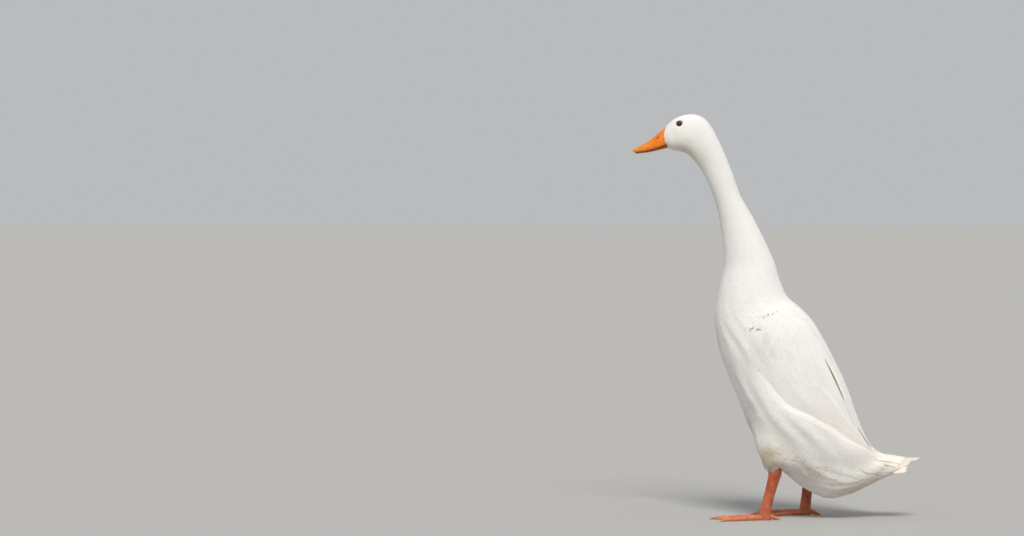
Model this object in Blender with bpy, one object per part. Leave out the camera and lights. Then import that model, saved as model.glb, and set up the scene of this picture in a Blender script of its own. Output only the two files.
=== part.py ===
"""An Indian runner duck, life size, as a still museum model.

The duck faces -X with its left side towards -Y, and stands on z = 0. Head, neck, torso and tail share one
lofted skin, parted by thin cuts. Bill, eyes, wings, thighs, shanks and webbed feet meet it face to face.
Tables are in millimetres, and everything built from them is in metres.
"""

import math

import bmesh
import bpy
import numpy as np
from mathutils import Matrix, Vector
from mathutils.bvhtree import BVHTree

MM = 0.001
GAP = 0.3 * MM
LEFT, RIGHT = -1.0, 1.0

# Where the skin is cut into head, neck, torso and tail, as places along the stations below.
HEAD_END, NECK_MIDDLE, NECK_END, TORSO_END = 7.0, 10.0, 13.4, 25.4

# Each station of the body: its point on the back line and on the front or belly line (x, z), half its width,
# how much fuller it is below than above, and how square its section is, where 2 is an ellipse.
STATIONS = (
    ("bill root", (-150.0, 523.5), (-146.0, 494.5), 11.0, 0.05, 2.3),
    ("lores", (-145.0, 531.0), (-140.0, 494.5), 14.5, 0.08, 2.4),
    ("brow", (-136.5, 537.5), (-132.5, 493.5), 17.0, 0.08, 2.4),
    ("eye", (-126.0, 541.5), (-125.0, 491.5), 18.5, 0.06, 2.3),
    ("crown", (-113.0, 543.0), (-118.0, 487.5), 18.5, 0.04, 2.2),
    ("back of crown", (-100.0, 539.0), (-111.5, 481.0), 17.5, 0.02, 2.1),
    ("nape", (-89.0, 528.0), (-105.5, 473.0), 16.5, 0.0, 2.0),
    ("throat", (-79.5, 510.5), (-100.0, 465.5), 15.8, 0.0, 2.0),
    ("top of neck", (-70.5, 491.5), (-95.5, 457.0), 15.6, 0.0, 2.0),
    ("upper neck", (-60.5, 466.5), (-89.5, 443.5), 16.0, 0.0, 2.0),
    ("mid neck", (-48.5, 433.5), (-82.0, 422.5), 17.3, 0.0, 2.0),
    ("lower neck", (-32.0, 404.5), (-76.5, 398.0), 20.0, 0.0, 2.0),
    ("neck root", (-16.5, 374.0), (-72.5, 370.0), 24.5, 0.0, 2.0),
    ("crop", (-3.5, 345.5), (-71.0, 338.0), 30.0, 0.0, 2.0),
    ("shoulder line", (3.5, 322.0), (-77.5, 304.5), 37.5, 0.02, 2.05),
    ("shoulder", (14.0, 298.5), (-82.0, 275.0), 42.5, 0.03, 2.1),
    ("breast", (31.5, 283.0), (-80.0, 245.5), 48.0, 0.04, 2.15),
    ("breastbone", (48.5, 265.0), (-73.0, 217.0), 52.0, 0.05, 2.2),
    ("upper back", (64.0, 239.0), (-62.0, 187.0), 54.5, 0.05, 2.2),
    ("mid back", (80.0, 208.0), (-49.0, 155.0), 56.0, 0.05, 2.2),
    ("loin", (95.0, 175.0), (-34.0, 117.0), 56.0, 0.05, 2.2),
    ("flank", (107.0, 141.0), (-14.5, 86.0), 53.0, 0.05, 2.2),
    ("belly", (118.5, 112.0), (12.5, 59.0), 48.0, 0.05, 2.2),
    ("rump", (130.0, 95.0), (39.5, 38.5), 41.5, 0.04, 2.15),
    ("vent", (142.0, 87.5), (69.0, 26.5), 34.5, 0.03, 2.1),
    ("tail root", (153.0, 85.5), (96.0, 31.5), 28.0, 0.02, 2.05),
    ("tail coverts", (162.5, 83.5), (121.0, 43.0), 21.5, 0.0, 2.0),
    ("tail base", (170.5, 81.0), (145.0, 56.5), 14.5, 0.0, 2.0),
)
SECTION = np.array([[*back, *front, width] for _, back, front, width, _, _ in STATIONS]) * MM
FULLNESS = np.array([[full, square] for *_, full, square in STATIONS])

# Swellings and hollows on both sides of the skin: place along the stations, angle from the back in
# degrees, reach along and around, and height as a share of the section.
SWELLS = (
    ("cheek", 3.4, 112, 1.7, 34, 0.07),
    ("hollow before the eye", 1.1, 74, 0.8, 26, -0.06),
    ("brow ridge", 2.5, 32, 1.0, 16, 0.03),
    ("flank pouch", 20.9, 112, 1.7, 28, 0.075),
    ("keel of the breast", 17.0, 180, 2.6, 34, 0.02),
)

# Bill: point on the ridge and point on the cutting edge (x, z), and half the width there.
UPPER_BILL = (
    ((-150.4, 523.2), (-147.4, 501.5), 10.6),
    ((-157.6, 518.5), (-156.6, 498.2), 10.1),
    ((-164.4, 513.5), (-164.8, 496.0), 9.9),
    ((-171.1, 508.3), (-172.2, 494.3), 10.3),
    ((-178.0, 504.4), (-179.2, 493.2), 10.9),
    ((-184.6, 500.8), (-185.3, 492.6), 10.9),
    ((-189.4, 498.1), (-189.7, 492.4), 9.2),
    ((-192.2, 496.2), (-192.3, 492.5), 6.0),
    ((-193.6, 494.7), (-193.6, 493.1), 2.2),
)
LOWER_BILL = (
    ((-147.3, 501.0), (-146.5, 494.9), 9.4),
    ((-156.6, 497.7), (-156.8, 492.6), 8.8),
    ((-164.8, 495.5), (-165.0, 491.2), 8.6),
    ((-172.2, 493.8), (-172.3, 490.5), 9.0),
    ((-179.2, 492.7), (-179.2, 490.0), 9.2),
    ((-185.3, 492.1), (-185.3, 489.9), 8.4),
    ((-189.2, 491.9), (-189.2, 490.2), 5.4),
    ((-190.8, 491.9), (-190.8, 490.7), 2.2),
)
NOSTRIL_AT, NOSTRIL_OUT = (-161.5, 511.6), 6.6
NOSTRIL_HALF = (3.1, 2.0, 1.2)
NOSTRIL_PITCH = math.radians(-32)

EYE_AT, EYE_RADIUS, EYE_DEPTH = (2.5, 56.0), 5.4, 3.3
LID_RADIUS, LID_THICKNESS = 4.9, 1.0

# Wing: where its pad starts and ends along the stations, and its upper and lower edge there in degrees
# from the back. It is thickest near the shoulder.
WING_START, WING_END = 15.3, 23.5
WING_PLACES = (15.3, 16.0, 17.0, 18.0, 19.0, 19.6, 20.2, 21.0, 21.8, 22.6, 23.5)
WING_UPPER_EDGE = (66, 44, 35, 31, 28, 27, 26, 24, 22, 19, 14)
WING_LOWER_EDGE = (78, 99, 107, 109, 107, 101, 86, 69, 56, 41, 30)
WING_THICKNESS = 6.0
WING_SUNK = 2.0
PAD_END = 0.88

# Tiers of wing feathers, the lowest first. Places run along the folded wing from the shoulder, 0, to the
# tip, 1, and across it from the upper edge, 0, to the lower edge, 1. Each row has the number of feathers,
# then for its first and its last one the root and the tip (along, across), then the feathers' width in
# millimetres and how high their tips stand off the pad.
WING_TIERS = (
    ("primary", 4, (0.64, 0.22), (0.60, 0.80), (1.04, 0.30), (0.93, 0.80), 8.5, 0.4),
    ("secondary", 7, (0.42, 0.34), (0.30, 0.93), (0.86, 0.36), (0.53, 0.95), 15.0, 0.8),
    ("greater covert", 6, (0.26, 0.30), (0.20, 0.92), (0.54, 0.36), (0.38, 0.94), 14.5, 1.2),
    ("median covert", 5, (0.12, 0.32), (0.10, 0.88), (0.33, 0.36), (0.26, 0.90), 14.0, 1.6),
    ("tertial", 4, (0.36, 0.10), (0.34, 0.36), (0.97, 0.13), (0.76, 0.42), 13.0, 1.6),
    ("scapular", 5, (0.16, 0.06), (0.10, 0.34), (0.56, 0.07), (0.40, 0.34), 13.5, 2.1),
)
VANE_SHARES = (0.0, 0.34, 0.68, 0.9, 1.0)
VANE_WIDTHS = (0.55, 0.92, 1.0, 0.72, 0.2)
VANE_SUNK, VANE_THICKNESS, VANE_TILT = 0.9, 1.0, 0.5

# Tail feathers: how many on each side of the middle, the root and tip of the middle one (x, side, z), and
# how each next one shifts from it. The outer ones also sink as the square of their number.
TAIL_PAIRS = 7
TAIL_ROOT, TAIL_ROOT_STEP, TAIL_ROOT_SINK = (157.0, 3.0, 76.5), (-1.9, 1.3, 0.0), 0.42
TAIL_TIP, TAIL_TIP_STEP, TAIL_TIP_SINK = (193.6, 5.2, 80.6), (-4.4, 3.8, 0.0), 0.55
TAIL_WIDTH, TAIL_THICKNESS = 11.5, 1.0

# Thighs: points (x, z), side offset, and half sizes front to back and across, from the hip down.
LEFT_THIGH = (
    ((20.0, 150.0), 29.0, 22.0, 22.0),
    ((13.0, 132.0), 32.5, 27.0, 23.5),
    ((5.0, 114.0), 35.5, 27.5, 22.0),
    ((-2.0, 97.0), 37.0, 22.5, 18.0),
    ((-4.5, 84.0), 37.5, 16.5, 13.2),
    ((-5.0, 75.5), 37.5, 13.2, 10.8),
    ((-4.2, 70.8), 37.5, 11.0, 9.2),
)
RIGHT_THIGH = (
    ((26.0, 132.0), 30.0, 24.0, 20.0),
    ((29.0, 116.0), 35.0, 26.0, 22.0),
    ((34.0, 98.0), 38.5, 22.0, 18.5),
    ((40.0, 81.0), 39.5, 16.5, 14.0),
    ((44.0, 68.0), 38.5, 12.0, 10.2),
    ((45.5, 57.0), 37.5, 9.8, 8.4),
)

# Shanks: points (x, z) with half sizes front to back and across, from the feathers to the foot.
LEFT_SHANK = (
    ((-2.0, 70.4), 8.4, 6.7),
    ((-1.6, 63.0), 8.8, 6.9),
    ((-3.6, 54.0), 7.6, 5.6),
    ((-8.4, 36.0), 6.8, 4.7),
    ((-12.8, 20.0), 6.8, 4.9),
    ((-15.2, 10.4), 7.4, 5.8),
)
RIGHT_SHANK = (
    ((45.5, 56.4), 8.2, 6.6),
    ((45.2, 51.0), 8.2, 6.2),
    ((43.8, 44.0), 7.4, 5.4),
    ((42.0, 33.0), 6.8, 4.7),
    ((40.4, 19.0), 6.8, 4.9),
    ((39.4, 10.4), 7.4, 5.8),
)
LEG_OUT = 37.5

# Feet: the ankle, then each toe's bearing in degrees away from the duck's middle line, its length with
# the claw, its joints as shares of that length, and its radius at the root.
ANKLE_HEIGHT, ANKLE_HALF = 10.0, (8.2, 6.6)
TOES = (
    ("outer", 23.0, 66.0, (0.0, 0.28, 0.5, 0.7, 0.86), 4.3),
    ("middle", -2.0, 75.0, (0.0, 0.32, 0.6, 0.85), 4.7),
    ("inner", -28.0, 58.0, (0.0, 0.42, 0.83), 4.3),
)
TOE_TIP_SHARE, CLAW_LENGTH, CLAW_RADIUS = 0.5, 8.5, 1.9
HALLUX = ((4.0, 5.6), (10.0, 4.4), (15.5, 2.2), (20.5, 0.8))
HALLUX_RADII = (3.4, 3.0, 2.4, 1.0)
WEB_THICKNESS, WEB_SAG = 1.9, 0.2

# Materials: colour, roughness and metallic value.
FINISHES = {
    "white_plumage": ((0.90, 0.87, 0.80, 1.0), 0.75, 0.0),
    "orange_bill": ((0.90, 0.40, 0.06, 1.0), 0.42, 0.0),
    "orange_leg": ((0.72, 0.24, 0.11, 1.0), 0.6, 0.0),
    "dark_eye": ((0.03, 0.02, 0.015, 1.0), 0.08, 0.0),
}


def clear_scene():
    for obj in list(bpy.data.objects):
        bpy.data.objects.remove(obj)


def make_finishes():
    made = {}
    for name, (colour, roughness, metallic) in FINISHES.items():
        material = bpy.data.materials.new(name)
        material.use_nodes = True
        shader = material.node_tree.nodes["Principled BSDF"]
        shader.inputs["Base Color"].default_value = colour
        shader.inputs["Roughness"].default_value = roughness
        shader.inputs["Metallic"].default_value = metallic
        made[name] = material
    return made


def spline(table, place):
    """Rows of a table read smoothly at a place between them, by a Catmull-Rom curve."""
    place = np.clip(np.asarray(place, float), 0, len(table) - 1)
    here = np.minimum(place.astype(int), len(table) - 2)
    t = (place - here)[..., None]
    before = table[np.maximum(here - 1, 0)]
    start, end = table[here], table[here + 1]
    after = table[np.minimum(here + 2, len(table) - 1)]
    bend = (2 * before - 5 * start + 4 * end - after) * t**2
    twist = (3 * start - before - 3 * end + after) * t**3
    return 0.5 * (2 * start + (end - before) * t + bend + twist)


def swell_at(place, angle):
    """Height of the skin's swellings, as a share of its section."""
    folded = np.degrees(np.abs((angle + np.pi) % (2 * np.pi) - np.pi))
    total = np.zeros(np.broadcast(place, angle).shape)
    for _, along, around, reach, spread, height in SWELLS:
        total = total + height * np.exp(-(((place - along) / reach) ** 2) - ((folded - around) / spread) ** 2)
    return total


def skin(place, angle):
    """Points of the skin. The angle runs from the back, 0, down the left side to the belly, pi."""
    place, angle = np.broadcast_arrays(np.asarray(place, float), np.asarray(angle, float))
    size = spline(SECTION, place)
    full, square = np.moveaxis(spline(FULLNESS, place), -1, 0)
    up, across = np.cos(angle), np.sin(angle)
    reach = (np.abs(up) ** square + np.abs(across) ** square) ** (-1 / square) * (1 + swell_at(place, angle))
    middle = (size[..., 0:2] + size[..., 2:4]) / 2
    half = (size[..., 0:2] - size[..., 2:4]) / 2
    flat = middle + half * (up * reach)[..., None]
    side = LEFT * across * reach * size[..., 4] * (1 - full * up)
    return np.stack([flat[..., 0], side, flat[..., 1]], axis=-1)


def skin_frame(place, angle):
    """Point, outward normal and tailward direction of the skin."""
    step = 1e-3
    point = skin(place, angle)
    along = skin(place + step, angle) - skin(place - step, angle)
    around = skin(place, angle + step) - skin(place, angle - step)
    normal = np.cross(around, along)
    normal /= np.linalg.norm(normal, axis=-1, keepdims=True)
    along /= np.linalg.norm(along, axis=-1, keepdims=True)
    return point, normal, along


def faces_of_loft(rings, around):
    """Triangles of a closed loft: its side, then a fan on each end, whose middle points come last."""
    faces = []
    for i in range(rings - 1):
        for j in range(around):
            k = (j + 1) % around
            a, b, c, d = i * around + j, i * around + k, (i + 1) * around + k, (i + 1) * around + j
            faces += [(a, b, c), (a, c, d)]
    first, last = rings * around, rings * around + 1
    for j in range(around):
        k = (j + 1) % around
        faces.append((first, k, j))
        faces.append((last, (rings - 1) * around + j, (rings - 1) * around + k))
    return faces


def mesh_object(name, points, faces, material=None):
    """A mesh object with its faces turned outwards."""
    mesh = bpy.data.meshes.new(name)
    mesh.from_pydata([tuple(p) for p in points], [], faces)
    shape = bmesh.new()
    shape.from_mesh(mesh)
    bmesh.ops.triangulate(shape, faces=[f for f in shape.faces if len(f.verts) > 3])
    if shape.calc_volume(signed=True) < 0:
        bmesh.ops.reverse_faces(shape, faces=shape.faces)
    shape.to_mesh(mesh)
    shape.free()
    obj = bpy.data.objects.new(name, mesh)
    bpy.context.scene.collection.objects.link(obj)
    if material:
        mesh.materials.append(material)
    return obj


def loft(name, rings, material=None):
    """A closed loft through rings of points."""
    rings = np.asarray(rings)
    count, around = rings.shape[:2]
    points = [*rings.reshape(-1, 3), rings[0].mean(axis=0), rings[-1].mean(axis=0)]
    return mesh_object(name, points, faces_of_loft(count, around), material)


def skin_rings(start, end, count, around):
    """Rings of the skin, with half the gap taken off at each end so that neighbours meet face to face."""
    angles = np.linspace(0, 2 * np.pi, around, endpoint=False)
    rings = [skin(place, angles) for place in np.linspace(start, end, count)]
    for index, away in ((0, 1), (-1, -1)):
        place = (start, end)[index]
        back, front = np.split(spline(SECTION, place)[:4], 2)
        axis = np.array([back[1] - front[1], 0, front[0] - back[0]])
        onward = skin(place + 0.01, angles).mean(axis=0) - skin(place - 0.01, angles).mean(axis=0)
        axis *= np.sign(axis @ onward) / np.linalg.norm(axis)
        rings[index] = rings[index] + axis * away * GAP / 2
    return rings


def evaluated_copy(obj):
    graph = bpy.context.evaluated_depsgraph_get()
    return bpy.data.meshes.new_from_object(obj.evaluated_get(graph))


def apply_boolean(obj, others, operation, solver="EXACT"):
    """Joins or cuts an object by others through one modifier on their collection, then applies it."""
    group = bpy.data.collections.new(obj.name + "_" + operation.lower())
    for other in others:
        group.objects.link(other)
    modifier = obj.modifiers.new(operation, "BOOLEAN")
    modifier.operation = operation
    modifier.operand_type = "COLLECTION"
    modifier.collection = group
    modifier.solver = solver
    shaped = evaluated_copy(obj)
    obj.modifiers.clear()
    obj.data = shaped
    bpy.data.collections.remove(group)


def keep_largest(obj):
    """Drops every closed surface of the mesh but the one with the most volume, and merges slivers."""
    shape = bmesh.new()
    shape.from_mesh(obj.data)
    bmesh.ops.remove_doubles(shape, verts=shape.verts, dist=0.01 * MM)
    bmesh.ops.triangulate(shape, faces=shape.faces)
    loose, islands = set(shape.faces), []
    while loose:
        edge, island = [loose.pop()], []
        while edge:
            face = edge.pop()
            island.append(face)
            near = {other for e in face.edges for other in e.link_faces} & loose
            loose -= near
            edge += near
        islands.append(island)
    islands.sort(key=island_volume)
    for island in islands[:-1]:
        bmesh.ops.delete(shape, geom=island, context="FACES")
    shape.to_mesh(obj.data)
    shape.free()


def island_volume(faces):
    return sum(f.verts[0].co.dot(f.verts[1].co.cross(f.verts[2].co)) for f in faces) / 6


def join(name, pieces, cutters=(), material=None, solver="EXACT"):
    """One node from closed pieces joined together, less what the cutters take away."""
    base, others = pieces[0], list(pieces[1:])
    base.name = name
    if others:
        apply_boolean(base, others, "UNION", solver)
    if cutters:
        apply_boolean(base, list(cutters), "DIFFERENCE", solver)
    for piece in others:
        bpy.data.objects.remove(piece)
    keep_largest(base)
    base.data.materials.clear()
    base.data.materials.append(material)
    return base


def grown(obj, margin):
    """A cutter: the object's mesh moved outwards by a margin, so that what it cuts keeps a gap to it."""
    mesh = obj.data.copy()
    normals = np.array([v.normal for v in mesh.vertices])
    for vertex, normal in zip(mesh.vertices, normals):
        vertex.co += Vector(normal) * margin
    cutter = bpy.data.objects.new(obj.name + "_grown", mesh)
    bpy.context.scene.collection.objects.link(cutter)
    cutter.hide_render = True
    cutter.display_type = "WIRE"
    return cutter


def shade(obj, crease=40):
    obj.data.shade_smooth()
    obj.data.set_sharp_from_angle(angle=math.radians(crease))


def ball(name, centre, half, rings=12, around=16, turn=None):
    """A closed ellipsoid with half sizes along its own axes."""
    shape = bmesh.new()
    bmesh.ops.create_uvsphere(shape, u_segments=around, v_segments=rings, radius=1.0)
    scale = Matrix.Diagonal((*half, 1.0))
    place = Matrix.Translation(centre) @ (turn or Matrix.Identity(4)) @ scale
    bmesh.ops.transform(shape, matrix=place, verts=shape.verts)
    points = [v.co.copy() for v in shape.verts]
    faces = [[v.index for v in f.verts] for f in shape.faces]
    shape.free()
    return mesh_object(name, points, faces)


def eye_place(side):
    """Centre of an eyeball and the way it looks out."""
    place, angle = EYE_AT[0], math.radians(EYE_AT[1])
    point, normal, _ = skin_frame(place, angle)
    out = Vector(normal)
    out.z *= 0.45
    out.normalize()
    centre = Vector(point) - out * EYE_DEPTH * MM
    if side == RIGHT:
        centre.y, out.y = -centre.y, -out.y
    return centre, out


def lid(side):
    """The rim of the lids, a ring that stands a little proud round the eyeball."""
    centre, out = eye_place(side)
    turn = out.to_track_quat("Z", "Y").to_matrix()
    middle = centre + out * EYE_DEPTH * MM * 0.8
    rings = []
    for around in np.linspace(0, 2 * np.pi, 20, endpoint=False):
        ray = Vector((math.cos(around), math.sin(around), 0))
        ring = []
        for turn_angle in np.linspace(0, 2 * np.pi, 6, endpoint=False):
            offset = ray * (LID_RADIUS + LID_THICKNESS * math.cos(turn_angle))
            offset.z = LID_THICKNESS * math.sin(turn_angle)
            ring.append(middle + turn @ offset * MM)
        rings.append(ring)
    points = [p for ring in rings for p in ring]
    faces = []
    for i in range(20):
        for j in range(6):
            k, m = (i + 1) % 20, (j + 1) % 6
            faces.append((i * 6 + j, i * 6 + m, k * 6 + m, k * 6 + j))
    return mesh_object("lid", points, faces)


def build_head(finishes):
    head = loft("head", skin_rings(0.0, HEAD_END, 18, 24))
    lids = [lid(LEFT), lid(RIGHT)]
    sockets = []
    for side in (LEFT, RIGHT):
        centre, _ = eye_place(side)
        sockets.append(ball("socket", centre, (EYE_RADIUS * MM + GAP,) * 3, 10, 14))
    join("head", [head, *lids], sockets, finishes["white_plumage"])
    for socket in sockets:
        bpy.data.objects.remove(socket)
    shade(head)
    for name, side in (("eye_left", LEFT), ("eye_right", RIGHT)):
        centre, out = eye_place(side)
        turn = out.to_track_quat("Z", "Y").to_matrix().to_4x4()
        eye = ball(name, centre, (EYE_RADIUS * MM,) * 3, 9, 14, turn)
        eye.data.materials.append(finishes["dark_eye"])
        shade(eye)
    return head


def bill_rings(table, over):
    """Rings of half a bill: a dome over, or a trough under, the flat cutting edge."""
    arc = np.linspace(0, np.pi, 15)
    rings = []
    for ridge, edge, half in table:
        if not over:
            ridge, edge = edge, ridge
        ridge, edge = np.array(ridge), np.array(edge)
        up = np.sin(arc) ** 0.9
        curve = [(*(edge + (ridge - edge) * u), half * math.cos(a)) for u, a in zip(up, arc)]
        flat = [(*edge, half * y) for y in (-0.5, 0.0, 0.5)]
        rings.append([(x, y, z) for x, z, y in curve + flat])
    return np.array(rings) * MM


def build_bill(finishes):
    orange = finishes["orange_bill"]
    upper = loft("bill_upper", bill_rings(smooth_table(UPPER_BILL, 2), True))
    nostrils = []
    for side in (LEFT, RIGHT):
        centre = Vector((NOSTRIL_AT[0], side * NOSTRIL_OUT, NOSTRIL_AT[1])) * MM
        turn = Matrix.Rotation(NOSTRIL_PITCH, 4, "Y")
        half = [h * MM for h in NOSTRIL_HALF]
        nostrils.append(ball("nostril", centre, half, 8, 12, turn))
    join("bill_upper", [upper], nostrils, orange)
    for nostril in nostrils:
        bpy.data.objects.remove(nostril)
    lower = loft("bill_lower", bill_rings(smooth_table(LOWER_BILL, 2), False), orange)
    shade(upper)
    shade(lower)


def smooth_table(table, per_step):
    """A table of (point, point, size) rows read at finer steps along a smooth curve."""
    rows = np.array([[*first, *second, size] for first, second, size in table])
    places = np.linspace(0, len(rows) - 1, (len(rows) - 1) * per_step + 1)
    fine = spline(rows, places)
    return [((r[0], r[1]), (r[2], r[3]), r[4]) for r in fine]


def wing_edge(edges, place):
    return np.radians(np.interp(place, WING_PLACES, edges))


def wing_spot(along, across):
    """Place and angle on the skin, from shares along and across the folded left wing."""
    place = WING_START + along * (WING_END - WING_START)
    upper, lower = wing_edge(WING_UPPER_EDGE, place), wing_edge(WING_LOWER_EDGE, place)
    return place, upper + (lower - upper) * across


def pad_height(along, across):
    """How far the wing's plain outer surface stands off the skin."""
    rounded = np.clip(4 * across * (1 - across), 0, 1) ** 0.4
    front = np.clip(np.asarray(along) / 0.12, 0, 1) ** 0.6
    fall = 1 - 0.55 * np.clip(along, 0, 1)
    return (0.6 + (WING_THICKNESS * fall - 0.6) * rounded * front) * MM


def wing_surface(along, across, lift):
    """A point over the folded wing, so many millimetres off its pad."""
    place, angle = wing_spot(along, across)
    point, normal, _ = skin_frame(place, angle)
    return point + normal * (pad_height(along, across) + np.asarray(lift) * MM)[..., None]


def wing_pad(rings=15, across=8):
    """The folded wing under its feathers: a shell that lies on the skin, sunk in to be cut by it."""
    rows = []
    for along in np.linspace(0, PAD_END, rings):
        shares = np.linspace(0, 1, across)
        place, angle = wing_spot(along, shares)
        point, normal, _ = skin_frame(np.full(across, place), angle)
        outer = wing_surface(np.full(across, along), shares, np.zeros(across))
        rows.append(np.concatenate([outer, (point - normal * WING_SUNK * MM)[::-1]]))
    return loft("wing_pad", rows)


def wing_width(along):
    """Millimetres across the wing's surface from its upper to its lower edge."""
    shares = np.linspace(0, 1, 12)
    place, angle = wing_spot(along, shares)
    points = skin(np.full(12, place), angle)
    return np.linalg.norm(np.diff(points, axis=0), axis=1).sum() / MM


def wing_vane(root, tip, width, height):
    """One feather on the wing: a closed vane with its root sunk in the pad and its tip standing off it."""
    rings = []
    for share, wide in zip(VANE_SHARES, VANE_WIDTHS):
        along = root[0] + (tip[0] - root[0]) * share
        across = root[1] + (tip[1] - root[1]) * share
        half = width * wide / 2 / wing_width(along)
        upper = np.clip(across - half, 0.015, 0.985)
        lower = np.clip(across + half, 0.015, 0.985)
        lift = -0.7 + (height + 0.7) * min(1.0, share / 0.5)
        beyond = along > PAD_END - 0.03
        under = lift - VANE_THICKNESS if beyond else min(lift, 0) - VANE_SUNK
        spots = (
            (upper, lift - VANE_TILT),
            ((upper + lower) / 2, lift + 0.1),
            (lower, lift + VANE_TILT),
            (lower, under),
            (upper, under - VANE_TILT * beyond),
        )
        rings.append([wing_surface(along, c, h) for c, h in spots])
    return loft("vane", rings)


def wing_vanes():
    """Every tier of the folded left wing, the feathers of each spread evenly from its first to its last."""
    vanes = []
    for _, count, first_root, last_root, first_tip, last_tip, width, height in WING_TIERS:
        for share in np.linspace(0, 1, count):
            root = np.array(first_root) * (1 - share) + np.array(last_root) * share
            tip = np.array(first_tip) * (1 - share) + np.array(last_tip) * share
            vanes.append(wing_vane(root, tip, width, height + 0.12 * math.cos(9 * share)))
    return vanes


def mirrored(obj, name):
    """The same piece on the duck's other side."""
    points = [(v.co.x, -v.co.y, v.co.z) for v in obj.data.vertices]
    faces = [tuple(reversed(f.vertices)) for f in obj.data.polygons]
    return mesh_object(name, points, faces)


def build_wings(finishes, torso):
    pieces = [wing_pad(), *wing_vanes()]
    left = join("wing_left", pieces, [grown(torso, GAP)], finishes["white_plumage"])
    right = mirrored(left, "wing_right")
    right.data.materials.append(finishes["white_plumage"])
    shade(left)
    shade(right)


def limb_rings(table, around, side):
    """Rings round a leg's bone, square to its path, from (x, z), side offset and two half sizes."""
    fine = smooth_table([((x, z), (out, half_x), half_y) for (x, z), out, half_x, half_y in table], 2)
    path = np.array([[p[0], side * q[0], p[1]] for p, q, _ in fine])
    ahead = np.gradient(path, axis=0)
    angles = np.linspace(0, 2 * np.pi, around, endpoint=False)
    rings = []
    for index, (_, (_, half_x), half_y) in enumerate(fine):
        down = ahead[index] / np.linalg.norm(ahead[index])
        if index in (0, len(fine) - 1):
            down = np.array([0, 0, -1.0])
        across = np.array([0, 1.0, 0])
        front = np.cross(across, down)
        front /= np.linalg.norm(front)
        rings.append(
            [path[index] + front * half_x * math.cos(a) + across * half_y * math.sin(a) for a in angles]
        )
    return np.array(rings) * MM


def build_leg(name, thigh, shank, side, torso, finishes):
    upper = loft("thigh_" + name, limb_rings(thigh, 20, side))
    join("thigh_" + name, [upper], [grown(torso, GAP)], finishes["white_plumage"])
    bone = [(point, LEG_OUT, half_x, half_y) for point, half_x, half_y in shank]
    lower = loft("shank_" + name, limb_rings(bone, 16, side))
    join("shank_" + name, [lower], [grown(torso, GAP)], finishes["orange_leg"])
    shade(upper)
    shade(lower)


def toe_rings(length, joints, radius):
    """Rings of a toe along +X from the ankle, swollen at each joint, with a flat claw at its end."""
    body = length - CLAW_LENGTH
    rings = []
    angles = np.linspace(0, 2 * np.pi, 8, endpoint=False) + np.pi / 8
    for x in np.linspace(0, body, 13):
        share = x / body
        taper = radius * (1 - (1 - TOE_TIP_SHARE) * share)
        nearest = min(abs(share - joint) for joint in joints)
        swollen = taper * (0.88 + 0.16 * math.exp(-((nearest / 0.06) ** 2)))
        height = swollen * 0.8
        rings.append([(x, swollen * math.cos(a), height + swollen * 0.95 * math.sin(a)) for a in angles])
    for share, size in ((0.08, 0.85), (0.55, 0.6), (1.0, 0.22)):
        x = body + CLAW_LENGTH * share
        r = CLAW_RADIUS * size
        rise = 2.0 * (1 - share) + 0.35
        rings.append([(x, r * math.cos(a), rise + r * 0.8 * math.sin(a)) for a in angles])
    return np.array(rings) * MM


def toe_matrix(ankle, bearing, side):
    """Turns +X to point ahead of the duck, swung out by the toe's bearing."""
    swing = Matrix.Rotation(math.radians(180) - side * math.radians(bearing), 4, "Z")
    return Matrix.Translation(ankle) @ swing


def web_rings(side):
    """The web in ankle coordinates as a fan of two skins, its front edge hollowed between the toes."""
    bearings = [math.radians(b) for _, b, *_ in TOES]
    lengths = [length - CLAW_LENGTH * 0.75 for _, _, length, *_ in TOES]
    steps = 6
    rays = []
    for first in (0, 1):
        for step in range(steps + (first == 1)):
            share = step / steps
            bearing = bearings[first] + (bearings[first + 1] - bearings[first]) * share
            straight = lengths[first] + (lengths[first + 1] - lengths[first]) * share
            rays.append((bearing, straight * (1 - 0.15 * math.sin(math.pi * share))))
    return [(side * bearing, reach) for bearing, reach in rays]


def web(ankle, side):
    """The web between the front toes, a thin plate on the floor."""
    rays = web_rings(side)
    shares = (0.06, 0.4, 0.75, 1.0)
    points = []
    for level in (WEB_THICKNESS, -0.6):
        for bearing, reach in rays:
            for share in shares:
                radius = reach * share
                points.append((-radius * math.cos(bearing), radius * math.sin(bearing), level))
    faces, n, across = [], len(rays), len(shares)
    for i in range(n - 1):
        for j in range(across - 1):
            a, b = i * across + j, (i + 1) * across + j
            top = (a, a + 1, b + 1, b)
            faces += [(top[0], top[1], top[2]), (top[0], top[2], top[3])]
            low = [v + n * across for v in top]
            faces += [(low[2], low[1], low[0]), (low[3], low[2], low[0])]
    rim = [j for j in range(across)]
    rim += [i * across + across - 1 for i in range(1, n)]
    rim += [(n - 1) * across + j for j in range(across - 2, -1, -1)]
    rim += [i * across for i in range(n - 2, 0, -1)]
    for a, b in zip(rim, rim[1:] + rim[:1]):
        faces.append((b, a, a + n * across, b + n * across))
    placed = [Vector(ankle) + Vector(p) * MM for p in points]
    return mesh_object("web", placed, faces)


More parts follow.
